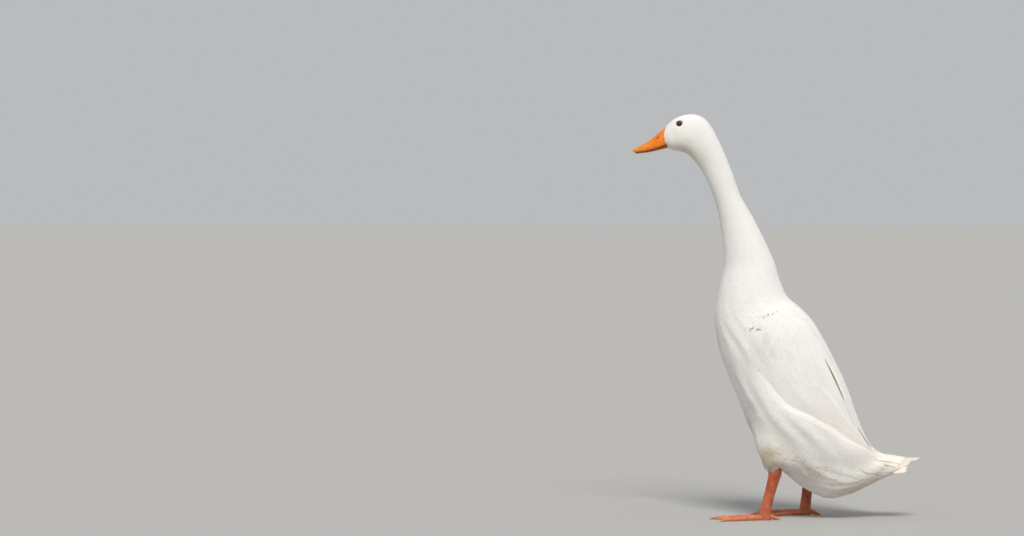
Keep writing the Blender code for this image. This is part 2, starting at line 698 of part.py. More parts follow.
def build_foot(name, shank, side, finishes):
    """Ankle, three webbed toes with claws and the small hind toe, cut flat where they meet the floor."""
    (x, _), *_ = shank[-1]
    ankle = Vector((x, side * LEG_OUT, 0)) * MM
    block = []
    for z, grow in ((-1.0, 0.75), (2.5, 0.95), (6.0, 1.0), (ANKLE_HEIGHT, 0.92)):
        angles = np.linspace(0, 2 * np.pi, 16, endpoint=False)
        half_x, half_y = ANKLE_HALF[0] * grow, ANKLE_HALF[1] * grow
        block.append([(half_x * math.cos(a), half_y * math.sin(a), z) for a in angles])
    pieces = [loft("block", np.array(block) * MM + np.array(ankle))]
    for toe_name, bearing, length, joints, radius in TOES:
        toe = loft("toe_" + toe_name, toe_rings(length, joints, radius))
        toe.data.transform(toe_matrix(ankle, bearing, side))
        pieces.append(toe)
    pieces.append(web(ankle, side))
    inward = -side * 0.22
    path = [Vector((px, px * inward, pz)) for px, pz in HALLUX]
    rings = []
    for centre, radius in zip(path, HALLUX_RADII):
        angles = np.linspace(0, 2 * np.pi, 8, endpoint=False)
        rings.append([centre + Vector((0, math.cos(a), math.sin(a))) * radius for a in angles])
    hallux = loft("hallux", np.array([[tuple(p) for p in ring] for ring in rings]) * MM + np.array(ankle))
    pieces.append(hallux)
    below = box_cutter(ankle)
    foot = join("foot_" + name, pieces, [below], finishes["orange_leg"])
    bpy.data.objects.remove(below)
    shade(foot)


def box_cutter(ankle):
    """A block that fills the space below the floor round one foot."""
    half, depth = 0.12, 0.02
    corners = [(sx * half + ankle.x, sy * half + ankle.y, z) for z in (-depth, 0) for sx, sy in
               ((-1, -1), (1, -1), (1, 1), (-1, 1))]
    faces = [(0, 3, 2, 1), (4, 5, 6, 7), (0, 1, 5, 4), (1, 2, 6, 5), (2, 3, 7, 6), (3, 0, 4, 7)]
    return mesh_object("below", corners, faces)


def tail_stub():
    """The root of the tail, closing inside its feathers."""
    rings = skin_rings(TORSO_END, 27.0, 5, 20)
    angles = np.linspace(0, 2 * np.pi, 20, endpoint=False)
    for (x, z), half_x, half_z in (((168.0, 71.0), 13.0, 8.0), ((176.0, 74.5), 8.0, 3.2)):
        ring = [(x, LEFT * half_x * math.sin(a), z + half_z * math.cos(a)) for a in angles]
        rings.append(np.array(ring) * MM)
    return loft("tail", rings)


def tail_vane(number, side):
    """One tail feather, numbered from the middle outwards, its plate leaning down to the side."""
    root = np.array(TAIL_ROOT) + np.array(TAIL_ROOT_STEP) * number
    tip = np.array(TAIL_TIP) + np.array(TAIL_TIP_STEP) * number
    root[2] -= TAIL_ROOT_SINK * number**2
    tip[2] -= TAIL_TIP_SINK * number**2
    lean = math.atan(2 * TAIL_TIP_SINK * number / TAIL_TIP_STEP[1]) - math.radians(9)
    ahead = (tip - root) / np.linalg.norm(tip - root)
    across = np.array([0, math.cos(lean), -math.sin(lean)])
    across -= ahead * (across @ ahead)
    across /= np.linalg.norm(across)
    up = np.cross(ahead, across)
    up *= np.sign(up[2])
    rings = []
    for share, wide in zip(VANE_SHARES, (0.5, 0.8, 1.0, 0.74, 0.2)):
        middle = root + (tip - root) * share + up * 1.2 * share * (1 - share)
        half, thick = TAIL_WIDTH * wide / 2, TAIL_THICKNESS * (1 - 0.35 * share)
        edge = middle - up * 0.8 * wide
        ring = [edge - across * half, middle, edge + across * half]
        ring += [p - up * thick for p in reversed(ring)]
        rings.append(ring)
    points = np.array(rings) * MM
    points[..., 1] *= side
    return loft("rectrix", points)


def tail_vanes():
    return [tail_vane(number, side) for number in range(TAIL_PAIRS) for side in (LEFT, RIGHT)]


def build_body(finishes):
    white = finishes["white_plumage"]
    torso = loft("torso", skin_rings(NECK_END, TORSO_END, 27, 32), white)
    for name, start, end in (("neck_upper", HEAD_END, NECK_MIDDLE), ("neck_lower", NECK_MIDDLE, NECK_END)):
        shade(loft(name, skin_rings(start, end, 8, 24), white))
    tail = join("tail", [tail_stub(), *tail_vanes()], (), white)
    shade(torso)
    shade(tail)
    return torso


def centre_on_origin():
    """Moves every node so that the middle of the model's footprint box is at x = 0, y = 0."""
    nodes = [o for o in bpy.data.objects if o.type == "MESH" and not o.hide_render]
    points = np.array([tuple(o.matrix_world @ v.co) for o in nodes for v in o.data.vertices])
    low, high = points.min(axis=0), points.max(axis=0)
    shift = Vector((-(low[0] + high[0]) / 2, -(low[1] + high[1]) / 2, -low[2]))
    for node in nodes:
        node.location += shift


def main():
    clear_scene()
    finishes = make_finishes()
    torso = build_body(finishes)
    build_head(finishes)
    build_bill(finishes)
    build_wings(finishes, torso)
    build_leg("left", LEFT_THIGH, LEFT_SHANK, LEFT, torso, finishes)
    build_leg("right", RIGHT_THIGH, RIGHT_SHANK, RIGHT, torso, finishes)
    build_foot("left", LEFT_SHANK, LEFT, finishes)
    build_foot("right", RIGHT_SHANK, RIGHT, finishes)
    for obj in [o for o in bpy.data.objects if o.name.endswith("_grown")]:
        bpy.data.objects.remove(obj)
    centre_on_origin()


main()
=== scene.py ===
# %% [markdown]
# # A white Indian runner duck, feather by feather
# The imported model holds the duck's plain, faceted forms. This lesson dresses them: one smooth skin for the
# flesh, tens of thousands of small closed vanes for the plumage, and finely modelled bill, eyes and legs.
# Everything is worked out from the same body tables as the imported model, so nothing has to be fitted.

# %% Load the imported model
import math

import bmesh
import bpy
import numpy as np
from mathutils import Matrix, Vector
from mathutils.bvhtree import BVHTree


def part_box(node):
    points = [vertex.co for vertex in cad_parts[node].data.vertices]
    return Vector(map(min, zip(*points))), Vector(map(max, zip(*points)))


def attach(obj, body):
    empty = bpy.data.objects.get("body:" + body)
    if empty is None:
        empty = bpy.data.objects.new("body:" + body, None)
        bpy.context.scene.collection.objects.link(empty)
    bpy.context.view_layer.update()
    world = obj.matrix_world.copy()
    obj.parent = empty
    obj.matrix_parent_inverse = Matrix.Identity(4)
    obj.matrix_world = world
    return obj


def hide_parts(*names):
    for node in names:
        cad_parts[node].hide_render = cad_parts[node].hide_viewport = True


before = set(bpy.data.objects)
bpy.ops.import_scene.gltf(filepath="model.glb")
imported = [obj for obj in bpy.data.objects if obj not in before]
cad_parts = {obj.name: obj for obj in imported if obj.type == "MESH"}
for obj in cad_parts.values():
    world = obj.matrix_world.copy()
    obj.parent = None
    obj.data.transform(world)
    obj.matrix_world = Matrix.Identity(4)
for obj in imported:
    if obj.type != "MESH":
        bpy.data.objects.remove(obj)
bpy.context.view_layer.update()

# %% [markdown]
# ## One frame for both
# The body tables below are in millimetres, with the ground point between the feet at zero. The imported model
# was centred on its own box, so one shift, read from the bill's tip, carries the tables into its frame.

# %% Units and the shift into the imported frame
MM = 0.001
LEFT, RIGHT = -1.0, 1.0
BILL_TIP_X = -193.6
SHIFT = np.array([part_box("bill_upper")[0].x - BILL_TIP_X * MM, 0.0, 0.0])
print("shift along x in mm:", round(SHIFT[0] / MM, 2))

# %% [markdown]
# ## The camera
# The photograph was taken from the duck's left, a few metres off and a little below its eye. At that distance
# one pixel covers 1.35 mm, which gives the lens. The duck stands right of the middle, so the camera turns
# to the left of it and down a little, with no shift.

# %% Camera from the photograph's scale
PHOTO_WIDTH, PHOTO_HEIGHT = 1024, 536
PIXEL_SIZE = 1.35 * MM
GROUND_PIXEL = (776.75, 516.0)
CAMERA_AWAY, CAMERA_HEIGHT, SENSOR_WIDTH = 4.1, 0.43, 36.0
focal_pixels = CAMERA_AWAY / PIXEL_SIZE
camera_data = bpy.data.cameras.new("camera")
camera_data.sensor_width = SENSOR_WIDTH
camera_data.lens = focal_pixels * SENSOR_WIDTH / PHOTO_WIDTH
camera = bpy.data.objects.new("camera", camera_data)
bpy.context.scene.collection.objects.link(camera)
bpy.context.scene.camera = camera
turn_left = math.atan((GROUND_PIXEL[0] - PHOTO_WIDTH / 2) / focal_pixels)
ground_drop = math.atan((GROUND_PIXEL[1] - PHOTO_HEIGHT / 2) / focal_pixels)
look_down = math.atan(CAMERA_HEIGHT / CAMERA_AWAY) - ground_drop
camera.location = (SHIFT[0], -CAMERA_AWAY, CAMERA_HEIGHT)
camera.rotation_euler = (math.pi / 2 - look_down, 0, turn_left)
print("lens in mm:", round(camera_data.lens, 1))

# %% [markdown]
# ## Building materials from nodes
# Small helpers keep the materials short. One adds a node, sets its options and fills its sockets, from a
# number or from another node's output, and short ones for the kinds used most build on it. Another starts a
# node group with named inputs and outputs, and the last ones finish a material's Principled shader.



# %% Node helpers
def add_node(tree, kind, options=None, sockets=None):
    """A node of the tree with its options set, and each named socket linked or given its value."""
    node = tree.nodes.new("ShaderNode" + kind)
    for name, value in (options or {}).items():
        setattr(node, name, value)
    for name, value in (sockets or {}).items():
        if isinstance(value, bpy.types.NodeSocket):
            tree.links.new(value, node.inputs[name])
        else:
            node.inputs[name].default_value = value
    return node


def calculate(tree, operation, first, second=0.5):
    node = add_node(tree, "Math", {"operation": operation}, {0: first, 1: second})
    return node.outputs[0]


def multiply(tree, first, second):
    return calculate(tree, "MULTIPLY", first, second)


def mix_colour(tree, share, first, second, blend="MIX"):
    options = {"data_type": "RGBA", "blend_type": blend}
    return add_node(tree, "Mix", options, {0: share, 6: first, 7: second}).outputs[2]


def object_places(tree):
    return add_node(tree, "TexCoord").outputs["Object"]


def mark_value(tree, name):
    """A number that the mesh carries at its points."""
    return add_node(tree, "Attribute", {"attribute_name": name}).outputs["Fac"]


def noise(tree, places, size, detail):
    return add_node(tree, "TexNoise", None, {"Vector": places, "Scale": size, "Detail": detail}).outputs[0]


def ramp(tree, value, start, end):
    """Runs from 0 at the start to 1 at the end."""
    return add_node(tree, "MapRange", None, {0: value, 1: start, 2: end}).outputs[0]


def start_group(name, inputs, outputs):
    """A shader node group. Each input is (name, kind, value) and each output (name, kind)."""
    group = bpy.data.node_groups.new(name, "ShaderNodeTree")
    for socket_name, kind, value in inputs:
        socket = group.interface.new_socket(name=socket_name, in_out="INPUT", socket_type="NodeSocket" + kind)
        socket.default_value = value
    for socket_name, kind in outputs:
        group.interface.new_socket(name=socket_name, in_out="OUTPUT", socket_type="NodeSocket" + kind)
    return group, group.nodes.new("NodeGroupInput").outputs, group.nodes.new("NodeGroupOutput").inputs


def use_group(tree, group, **values):
    """Places a group in a tree, its inputs given by their names with spaces for underscores."""
    node = add_node(tree, "Group", {"node_tree": group})
    for name, value in values.items():
        socket = node.inputs[name.replace("_", " ")]
        if isinstance(value, bpy.types.NodeSocket):
            tree.links.new(value, socket)
        else:
            socket.default_value = value
    return node.outputs


def new_material(name, **constants):
    """A material with its Principled shader, whose constant sockets are set by name."""
    material = bpy.data.materials.new(name)
    material.use_nodes = True
    tree = material.node_tree
    shader = tree.nodes["Principled BSDF"]
    for socket_name, value in constants.items():
        shader.inputs[socket_name.replace("_", " ")].default_value = value
    return material, tree, shader


def link_bump(tree, shader, height, distance):
    bump = add_node(tree, "Bump", None, {"Height": height, "Distance": distance})
    tree.links.new(bump.outputs[0], shader.inputs["Normal"])


def link_finish(tree, shader, colour, roughness, height, distance):
    """Colour, roughness and bump of a finish."""
    tree.links.new(colour, shader.inputs["Base Color"])
    tree.links.new(roughness, shader.inputs["Roughness"])
    link_bump(tree, shader, height, distance)


def let_light_in(shader, weight, radius, scale):
    """Subsurface scattering, for feathers, horn and skin."""
    shader.inputs["Subsurface Weight"].default_value = weight
    shader.inputs["Subsurface Radius"].default_value = radius
    shader.inputs["Subsurface Scale"].default_value = scale


# %% [markdown]
# ## Floor and light
# The duck stands on a plain pale studio floor. In the photograph a high sun lights the back, the wing and the
# camera's side, and the leaning breast and belly stay in soft shade. A broad lamp high behind the camera
# does that here, with a pale world round it. The Standard view transform keeps white plumage white.

# %% Floor, lamp and world
FLOOR_HALF = 40.0
KEY_FROM, KEY_STRENGTH, KEY_SOFTNESS = (0.15, -1.0, 1.3), 2.65, math.radians(22)
WORLD_COLOUR, WORLD_STRENGTH = (0.955, 0.975, 1.0, 1.0), 0.51

corners = [(sx * FLOOR_HALF, sy * FLOOR_HALF, 0.0) for sx, sy in ((-1, -1), (1, -1), (1, 1), (-1, 1))]
floor_mesh = bpy.data.meshes.new("studio_floor")
floor_mesh.from_pydata(corners, [], [(0, 1, 2, 3)])
floor = bpy.data.objects.new("studio_floor", floor_mesh)
bpy.context.scene.collection.objects.link(floor)
floor_material, tree, shader = new_material("studio floor", Roughness=0.85)
grain = noise(tree, object_places(tree), 60.0, 4.0)
pale = mix_colour(tree, grain, (0.405, 0.398, 0.388, 1), (0.44, 0.432, 0.42, 1))
tree.links.new(pale, shader.inputs["Base Color"])
link_bump(tree, shader, grain, 0.0004)
floor_mesh.materials.append(floor_material)

key_data = bpy.data.lights.new("high key", "SUN")
key_data.energy, key_data.angle, key_data.color = KEY_STRENGTH, KEY_SOFTNESS, (1.0, 0.975, 0.935)
key = bpy.data.objects.new("high key", key_data)
key.rotation_euler = (-Vector(KEY_FROM)).to_track_quat("-Z", "Y").to_euler()
bpy.context.scene.collection.objects.link(key)
world = bpy.data.worlds.new("pale studio")
world.use_nodes = True
backdrop = world.node_tree.nodes["Background"]
backdrop.inputs["Color"].default_value = WORLD_COLOUR
backdrop.inputs["Strength"].default_value = WORLD_STRENGTH
bpy.context.scene.world = world
bpy.context.scene.view_settings.view_transform = "Standard"
print("world strength:", WORLD_STRENGTH)

# %% [markdown]
# ## The body as a table
# A runner duck is a bent tube: the head, a long neck, an upright body and a short tail. Each station below
# gives the back line, the front or belly line and the width where one section crosses the body. A smooth
# curve through the stations gives the skin at any place along it and any angle round it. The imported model
# uses the same table as far as the tail, where the last stations here carry the coat on over the fan.

# %% Stations from the bill to the tail
STATIONS = (
    ("bill root", (-150.0, 525.0), (-146.5, 497.0), 11.0, 0.05, 2.3),
    ("lores", (-145.0, 531.0), (-140.0, 494.5), 14.5, 0.08, 2.4),
    ("brow", (-136.5, 537.5), (-132.5, 493.5), 17.0, 0.08, 2.4),
    ("eye", (-126.0, 541.5), (-125.0, 491.5), 18.5, 0.06, 2.3),
    ("crown", (-113.0, 543.0), (-118.0, 487.5), 18.5, 0.04, 2.2),
    ("back of crown", (-100.0, 539.0), (-111.5, 481.0), 17.5, 0.02, 2.1),
    ("nape", (-89.0, 528.0), (-105.5, 473.0), 16.5, 0.0, 2.0),
    ("throat", (-79.5, 510.5), (-100.0, 465.5), 15.8, 0.0, 2.0),
    ("top of neck", (-70.5, 491.5), (-95.5, 457.0), 15.6, 0.0, 2.0),
    ("upper neck", (-60.5, 466.5), (-89.5, 443.5), 16.0, 0.0, 2.0),
    ("mid neck", (-48.5, 433.5), (-82.0, 422.5), 17.3, 0.0, 2.0),
    ("lower neck", (-32.0, 404.5), (-76.5, 398.0), 20.0, 0.0, 2.0),
    ("neck root", (-16.5, 374.0), (-72.5, 370.0), 24.5, 0.0, 2.0),
    ("crop", (-3.5, 345.5), (-71.0, 338.0), 30.0, 0.0, 2.0),
    ("shoulder line", (3.5, 322.0), (-77.5, 304.5), 37.5, 0.02, 2.05),
    ("shoulder", (14.0, 298.5), (-82.0, 275.0), 42.5, 0.03, 2.1),
    ("breast", (31.5, 283.0), (-80.0, 245.5), 48.0, 0.04, 2.15),
    ("breastbone", (48.5, 265.0), (-73.0, 217.0), 52.0, 0.05, 2.2),
    ("upper back", (64.0, 239.0), (-62.0, 187.0), 54.5, 0.05, 2.2),
    ("mid back", (80.0, 208.0), (-49.0, 155.0), 56.0, 0.05, 2.2),
    ("loin", (95.0, 175.0), (-34.0, 117.0), 56.0, 0.05, 2.2),
    ("flank", (107.0, 141.0), (-14.5, 86.0), 53.0, 0.05, 2.2),
    ("belly", (118.5, 112.0), (12.5, 59.0), 48.0, 0.05, 2.2),
    ("rump", (130.0, 95.0), (39.5, 38.5), 41.5, 0.04, 2.15),
    ("vent", (142.0, 87.5), (69.0, 26.5), 34.5, 0.03, 2.1),
    ("tail root", (153.0, 85.5), (96.0, 31.5), 28.0, 0.02, 2.05),
    ("tail coverts", (162.0, 83.5), (120.0, 42.5), 20.0, 0.0, 2.0),
    ("tail base", (169.5, 82.0), (141.0, 53.5), 17.5, 0.0, 2.0),
    ("over the fan", (178.0, 81.5), (157.0, 60.0), 18.5, 0.0, 2.0),
    ("end of the coverts", (186.0, 81.2), (170.0, 66.0), 20.0, 0.0, 2.0),
)
SECTION = np.array([[*back, *front, half] for _, back, front, half, _, _ in STATIONS]) * MM
FULLNESS = np.array([[full, square] for *_, full, square in STATIONS])
LAST_PLACE = len(STATIONS) - 1.0

# Swellings of the skin: place along, degrees from the back, reach of each, and height as a share.
SWELLS = (
    ("cheek", 3.4, 112, 1.7, 34, 0.07),
    ("hollow before the eye", 1.1, 74, 0.8, 26, -0.06),
    ("brow ridge", 2.5, 32, 1.0, 16, 0.03),
    ("flank pouch", 20.9, 112, 1.7, 28, 0.075),
    ("keel of the breast", 17.0, 180, 2.6, 34, 0.02),
)
# Soft waves in the coat: place along, degrees from the back, reach of each, height as a share, and waves a
# radian round and a station along.
RUFFLES = (
    ("neck root", 13.5, 110, 2.2, 50, 0.0045, 12.0, 2.4),
    ("breast", 17.6, 126, 2.4, 28, 0.0170, 17.0, 1.3),
    ("flank", 21.4, 104, 1.9, 32, 0.0240, 18.0, 1.1),
    ("belly", 24.0, 132, 1.6, 34, 0.0180, 15.0, 2.1),
)
LORE_REACH = 2.8


# %% Reading the table smoothly
def spline(table, place):
    """Rows of a table read smoothly between them, by a Catmull-Rom curve, and straight on past its ends."""
    wanted = np.asarray(place, float)
    place = np.clip(wanted, 0, len(table) - 1)
    here = np.minimum(place.astype(int), len(table) - 2)
    t = (place - here)[..., None]
    past = (wanted - place)[..., None]
    onward = np.where(past < 0, table[1] - table[0], table[-1] - table[-2])
    before = table[np.maximum(here - 1, 0)]
    start, end = table[here], table[here + 1]
    after = table[np.minimum(here + 2, len(table) - 1)]
    bend = (2 * before - 5 * start + 4 * end - after) * t**2
    twist = (3 * start - before - 3 * end + after) * t**3
    return 0.5 * (2 * start + (end - before) * t + bend + twist) + past * onward


def swell_at(place, angle):
    """Height of the skin's swellings, as a share of its section."""
    folded = np.degrees(np.abs((angle + np.pi) % (2 * np.pi) - np.pi))
    total = np.zeros(np.broadcast(place, angle).shape)
    for _, along, around, reach, spread, height in SWELLS:
        total = total + height * np.exp(-(((place - along) / reach) ** 2) - ((folded - around) / spread) ** 2)
    for _, along, around, reach, spread, height, round_waves, long_waves in RUFFLES:
        fade = np.exp(-(((place - along) / reach) ** 2) - ((folded - around) / spread) ** 2)
        bent = round_waves * angle + long_waves * place + 1.3 * np.sin(1.7 * place + 2 * angle)
        total = total + height * fade * np.sin(bent) * (0.65 + 0.35 * np.sin(0.43 * bent + 2.3 * place))
    return total


def section_point(place, angle, rise):
    """Points of a section of the body, pushed out from its middle by a rise in metres."""
    place, angle = np.broadcast_arrays(np.asarray(place, float), np.asarray(angle, float))
    size = spline(SECTION, place)
    full, square = np.moveaxis(spline(FULLNESS, place), -1, 0)
    up, across = np.cos(angle), np.sin(angle)
    reach = (np.abs(up) ** square + np.abs(across) ** square) ** (-1 / square) * (1 + swell_at(place, angle))
    middle = (size[..., 0:2] + size[..., 2:4]) / 2
    half = (size[..., 0:2] - size[..., 2:4]) / 2
    flat = half * (up * reach)[..., None]
    side = LEFT * across * reach * size[..., 4] * (1 - full * up)
    away = np.stack([flat[..., 0], side, flat[..., 1]], axis=-1)
    away = away * (1 + rise / np.maximum(np.linalg.norm(away, axis=-1), 1e-6))[..., None]
    lore = LORE_REACH * MM * np.clip(1 - place / 1.5, 0, 1) * np.clip(across**2 * 1.3 - 0.3, 0, 1)
    return away + np.stack([middle[..., 0] - lore, 0 * lore, middle[..., 1]], axis=-1)


def body(place, angle):
    """Points of the plain body. The angle runs from the back, 0, down the left side to the belly."""
    return section_point(place, angle, 0.0)


def full_turn(count):
    return np.linspace(0, 2 * np.pi, count, endpoint=False)


def unit(vectors):
    return vectors / np.maximum(np.linalg.norm(vectors, axis=-1, keepdims=True), 1e-12)


def frame_on(surface, place, angle, step=1e-3):
    """Point, outward normal and the two tangents of a surface given by place and angle."""
    point = surface(place, angle)
    along = (surface(place + step, angle) - surface(place - step, angle)) / (2 * step)
    around = (surface(place, angle + step) - surface(place, angle - step)) / (2 * step)
    return point, unit(np.cross(around, along)), along, around


# %% [markdown]
# ## Wings, thighs and tail as surfaces
# A folded wing lies on the body like a thin shell. Its place is given by two shares: along it from the
# shoulder to the tip, and across it from the upper to the lower edge. A thigh is a short limb round a curved
# bone. The tail is a fan. Each is a function of two numbers, as the body is, so one way of laying feathers
# serves them all.

# %% Wing and flank surfaces
WING_START, WING_END = 15.3, 23.5
WING_PLACES = (15.3, 16.0, 17.0, 18.0, 19.0, 19.6, 20.2, 21.0, 21.8, 22.6, 23.5)
WING_UPPER_EDGE = (66, 44, 35, 31, 28, 27, 26, 24, 22, 19, 14)
WING_LOWER_EDGE = (78, 99, 107, 109, 107, 101, 86, 69, 56, 41, 30)
WING_THICKNESS = 5.6
FLANK_RISE = 6.0
# How the body's coat swells over each thigh: degrees from the back and reach, places where the swelling
# starts, is highest and has ended below, and its height in mm.
THIGH_SWELLS = ((LEFT, 143, 17, 19.2, 21.3, 22.1, 19.0), (RIGHT, 118, 18, 19.9, 22.2, 23.1, 6.0))


def wing_spot(along, across):
    """Place and angle on the body, from shares along and across the folded left wing."""
    place = WING_START + along * (WING_END - WING_START)
    upper = np.radians(np.interp(place, WING_PLACES, WING_UPPER_EDGE))
    lower = np.radians(np.interp(place, WING_PLACES, WING_LOWER_EDGE))
    return place, upper + (lower - upper) * across


def smooth(value, start, end):
    """A soft step from 0 at the start to 1 at the end."""
    share = np.clip((value - start) / (end - start), 0, 1)
    return share**2 * (3 - 2 * share)


def past_edges(place, angle):
    """Degrees above the wing's upper edge and below its lower edge, the same on both sides of the body."""
    folded = np.degrees(np.abs((angle + np.pi) % (2 * np.pi) - np.pi))
    upper = np.interp(place, WING_PLACES, WING_UPPER_EDGE)
    lower = np.interp(place, WING_PLACES, WING_LOWER_EDGE)
    return upper - folded, folded - lower


def wing_rise(place, angle):
    """How far the folded wing stands off the body. It melts into the breast and the back."""
    above, below = past_edges(place, angle)
    fall = 1 - 0.55 * np.clip((place - WING_START) / (WING_END - WING_START), 0, 1)
    ends = smooth(place, 14.4, 17.2) * smooth(place, 24.4, 22.0)
    return WING_THICKNESS * MM * fall * ends * (1 - smooth(above, -9, 12)) * (1 - smooth(below, -22, 20))


def flank_rise(place, angle):
    """How far the long flank feathers stand off the body, from a soft lip over the wing's lower edge down."""
    _, below = past_edges(place, angle)
    ends = smooth(place, 17.4, 19.6) * smooth(place, 24.2, 22.4)
    return FLANK_RISE * MM * ends * smooth(below, -10, 5) * (1 - smooth(below, 9, 54))


def thigh_rise(place, angle):
    """How far the coat swells over the tops of the thighs, so that each grows out of the body softly."""
    turned = np.degrees((angle + np.pi) % (2 * np.pi) - np.pi)
    total = 0.0
    for side, along, reach, start, top, end, height in THIGH_SWELLS:
        fade = smooth(place, start, top) * (1 - smooth(place, top, end))
        total = total + height * MM * fade * np.exp(-(((-side * turned - along) / reach) ** 2))
    return total


def coat_rise(place, angle):
    wing_part, flank_part = wing_rise(place, angle), flank_rise(place, angle)
    most = (wing_part + flank_part + np.sqrt((wing_part - flank_part) ** 2 + (0.5 * MM) ** 2) - 0.5 * MM) / 2
    return most + thigh_rise(place, angle)


def dressed(place, angle):
    """The outer surface of the whole coat: the body with its wings and flanks swelling out of it."""
    return section_point(place, angle, coat_rise(place, angle))


FLESH_ROUNDS_FROM, FLESH_END = 27.0, 28.5


def flesh_end(place, angle):
    """The dressed surface, whose flesh is rounded off inside the fan of the tail."""
    size = spline(SECTION, np.asarray(place, float))
    middle = (size[..., 0:2] + size[..., 2:4]) / 2
    middle = np.stack([middle[..., 0], 0 * middle[..., 0], middle[..., 1]], axis=-1)
    closing = np.clip((np.asarray(place) - FLESH_ROUNDS_FROM) / (FLESH_END - FLESH_ROUNDS_FROM), 0, 0.9999)
    return middle + (dressed(place, angle) - middle) * np.sqrt(1 - closing**2)[..., None]


def wing(along, across):
    """Points of the folded left wing's surface, before its feathers."""
    along, across = np.broadcast_arrays(np.asarray(along, float), np.asarray(across, float))
    place, angle = wing_spot(along, across)
    return section_point(place, angle, wing_rise(place, angle))


def flank(place, below):
    """The flank's surface, by the place and the angle below the wing's lower edge."""
    place, below = np.broadcast_arrays(np.asarray(place, float), np.asarray(below, float))
    lower = np.radians(np.interp(place, WING_PLACES, WING_LOWER_EDGE))
    straight = smooth(np.degrees(below), 6, 44)
    angle = lower + (FLANK_AXIS - lower) * straight * FLANK_STRAIGHT + below
    return dressed(place, angle)


FLANK_AXIS, FLANK_STRAIGHT = math.radians(82), 0.75


# %% Thigh and shank surfaces
# Points (x, z), side offset, and half sizes front to back and across, from the top down.
LEFT_THIGH = (
    ((22.0, 150.0), 24.0, 10.0, 10.0),
    ((15.0, 132.0), 29.0, 17.0, 14.0),
    ((6.0, 114.0), 34.0, 22.5, 17.5),
    ((-2.0, 97.0), 37.0, 22.5, 18.0),
    ((-4.5, 84.0), 37.5, 16.5, 13.2),
    ((-5.0, 75.5), 37.5, 13.2, 10.8),
    ((-4.2, 70.8), 37.5, 11.0, 9.2),
)
RIGHT_THIGH = (
    ((26.0, 132.0), 30.0, 21.0, 17.0),
    ((29.0, 116.0), 35.0, 24.0, 20.0),
    ((34.0, 98.0), 38.5, 22.0, 18.5),
    ((40.0, 81.0), 39.5, 16.5, 14.0),
    ((44.0, 68.0), 38.5, 12.0, 10.2),
    ((45.5, 57.0), 37.5, 9.8, 8.4),
)
LEG_OUT = 37.5
LEFT_SHANK = (
    ((-2.0, 78.0), LEG_OUT, 7.6, 6.2),
    ((-2.0, 70.4), LEG_OUT, 8.4, 6.7),
    ((-1.6, 63.0), LEG_OUT, 8.8, 6.9),
    ((-3.6, 54.0), LEG_OUT, 7.6, 5.6),
    ((-8.4, 36.0), LEG_OUT, 6.8, 4.7),
    ((-12.8, 20.0), LEG_OUT, 6.8, 4.9),
    ((-15.2, 10.4), LEG_OUT, 7.4, 5.8),
    ((-15.2, 4.0), LEG_OUT, 7.4, 6.2),
)
RIGHT_SHANK = (
    ((45.5, 64.0), LEG_OUT, 7.4, 6.0),
    ((45.5, 56.4), LEG_OUT, 8.2, 6.6),
    ((45.2, 51.0), LEG_OUT, 8.2, 6.2),
    ((43.8, 44.0), LEG_OUT, 7.4, 5.4),
    ((42.0, 33.0), LEG_OUT, 6.8, 4.7),
    ((40.4, 19.0), LEG_OUT, 6.8, 4.9),
    ((39.4, 10.4), LEG_OUT, 7.4, 5.8),
    ((39.4, 4.0), LEG_OUT, 7.4, 6.2),
)


def limb(table, side):
    """The surface of a limb round its bone. Angle 0 is its front."""
    rows = np.array([[x, side * out, z, half_x, half_y] for (x, z), out, half_x, half_y in table]) * MM

    def surface(place, angle):
        place, angle = np.broadcast_arrays(np.asarray(place, float), np.asarray(angle, float))
        row = spline(rows, place)
        down = unit(spline(rows, place + 0.05)[..., :3] - spline(rows, place - 0.05)[..., :3])
        front = unit(np.cross(np.array([0.0, 1.0, 0.0]), down))
        ahead = front * (row[..., 3] * np.cos(angle))[..., None]
        sideways = np.array([0.0, 1.0, 0.0]) * (row[..., 4] * np.sin(angle))[..., None]
        return row[..., :3] + ahead + sideways

    return surface


# %% Tail fan surface
TAIL_PAIRS = 7
TAIL_ROOT, TAIL_ROOT_STEP, TAIL_ROOT_SINK = (157.0, 3.0, 79.5), (-1.9, 1.3), 0.42
TAIL_TIP, TAIL_TIP_STEP, TAIL_TIP_SINK = (193.6, 5.2, 80.6), (-3.4, 3.8), 0.37


def tail_fan(share, number):
    """Points of the tail's upper side, by the share from root to tip and the feather's number to the left."""
    share, number = np.broadcast_arrays(np.asarray(share, float), np.asarray(number, float))
    out = np.abs(number)
    step = np.maximum(out - 0.5, 0)
    inner = np.minimum(out / 0.5, 1)
    root = [TAIL_ROOT[0] + TAIL_ROOT_STEP[0] * step, TAIL_ROOT[1] * inner + TAIL_ROOT_STEP[1] * step,
            TAIL_ROOT[2] - TAIL_ROOT_SINK * step**2]
    tip = [TAIL_TIP[0] + TAIL_TIP_STEP[0] * step, TAIL_TIP[1] * inner + TAIL_TIP_STEP[1] * step,
           TAIL_TIP[2] - TAIL_TIP_SINK * step**2]
    x, y, z = (a + (b - a) * share for a, b in zip(root, tip))
    arch = 1.2 * np.clip(share, 0, 1) * (1 - np.clip(share, 0, 1))
    return np.stack([x, LEFT * y * np.sign(number), z + arch], axis=-1) * MM


# %% [markdown]
# ## Meshes from arrays
# A coat has hundreds of thousands of triangles, far too many to add one by one. Blender can take a whole mesh
# from number arrays at once, with its UV maps and its attributes, which the materials read later.


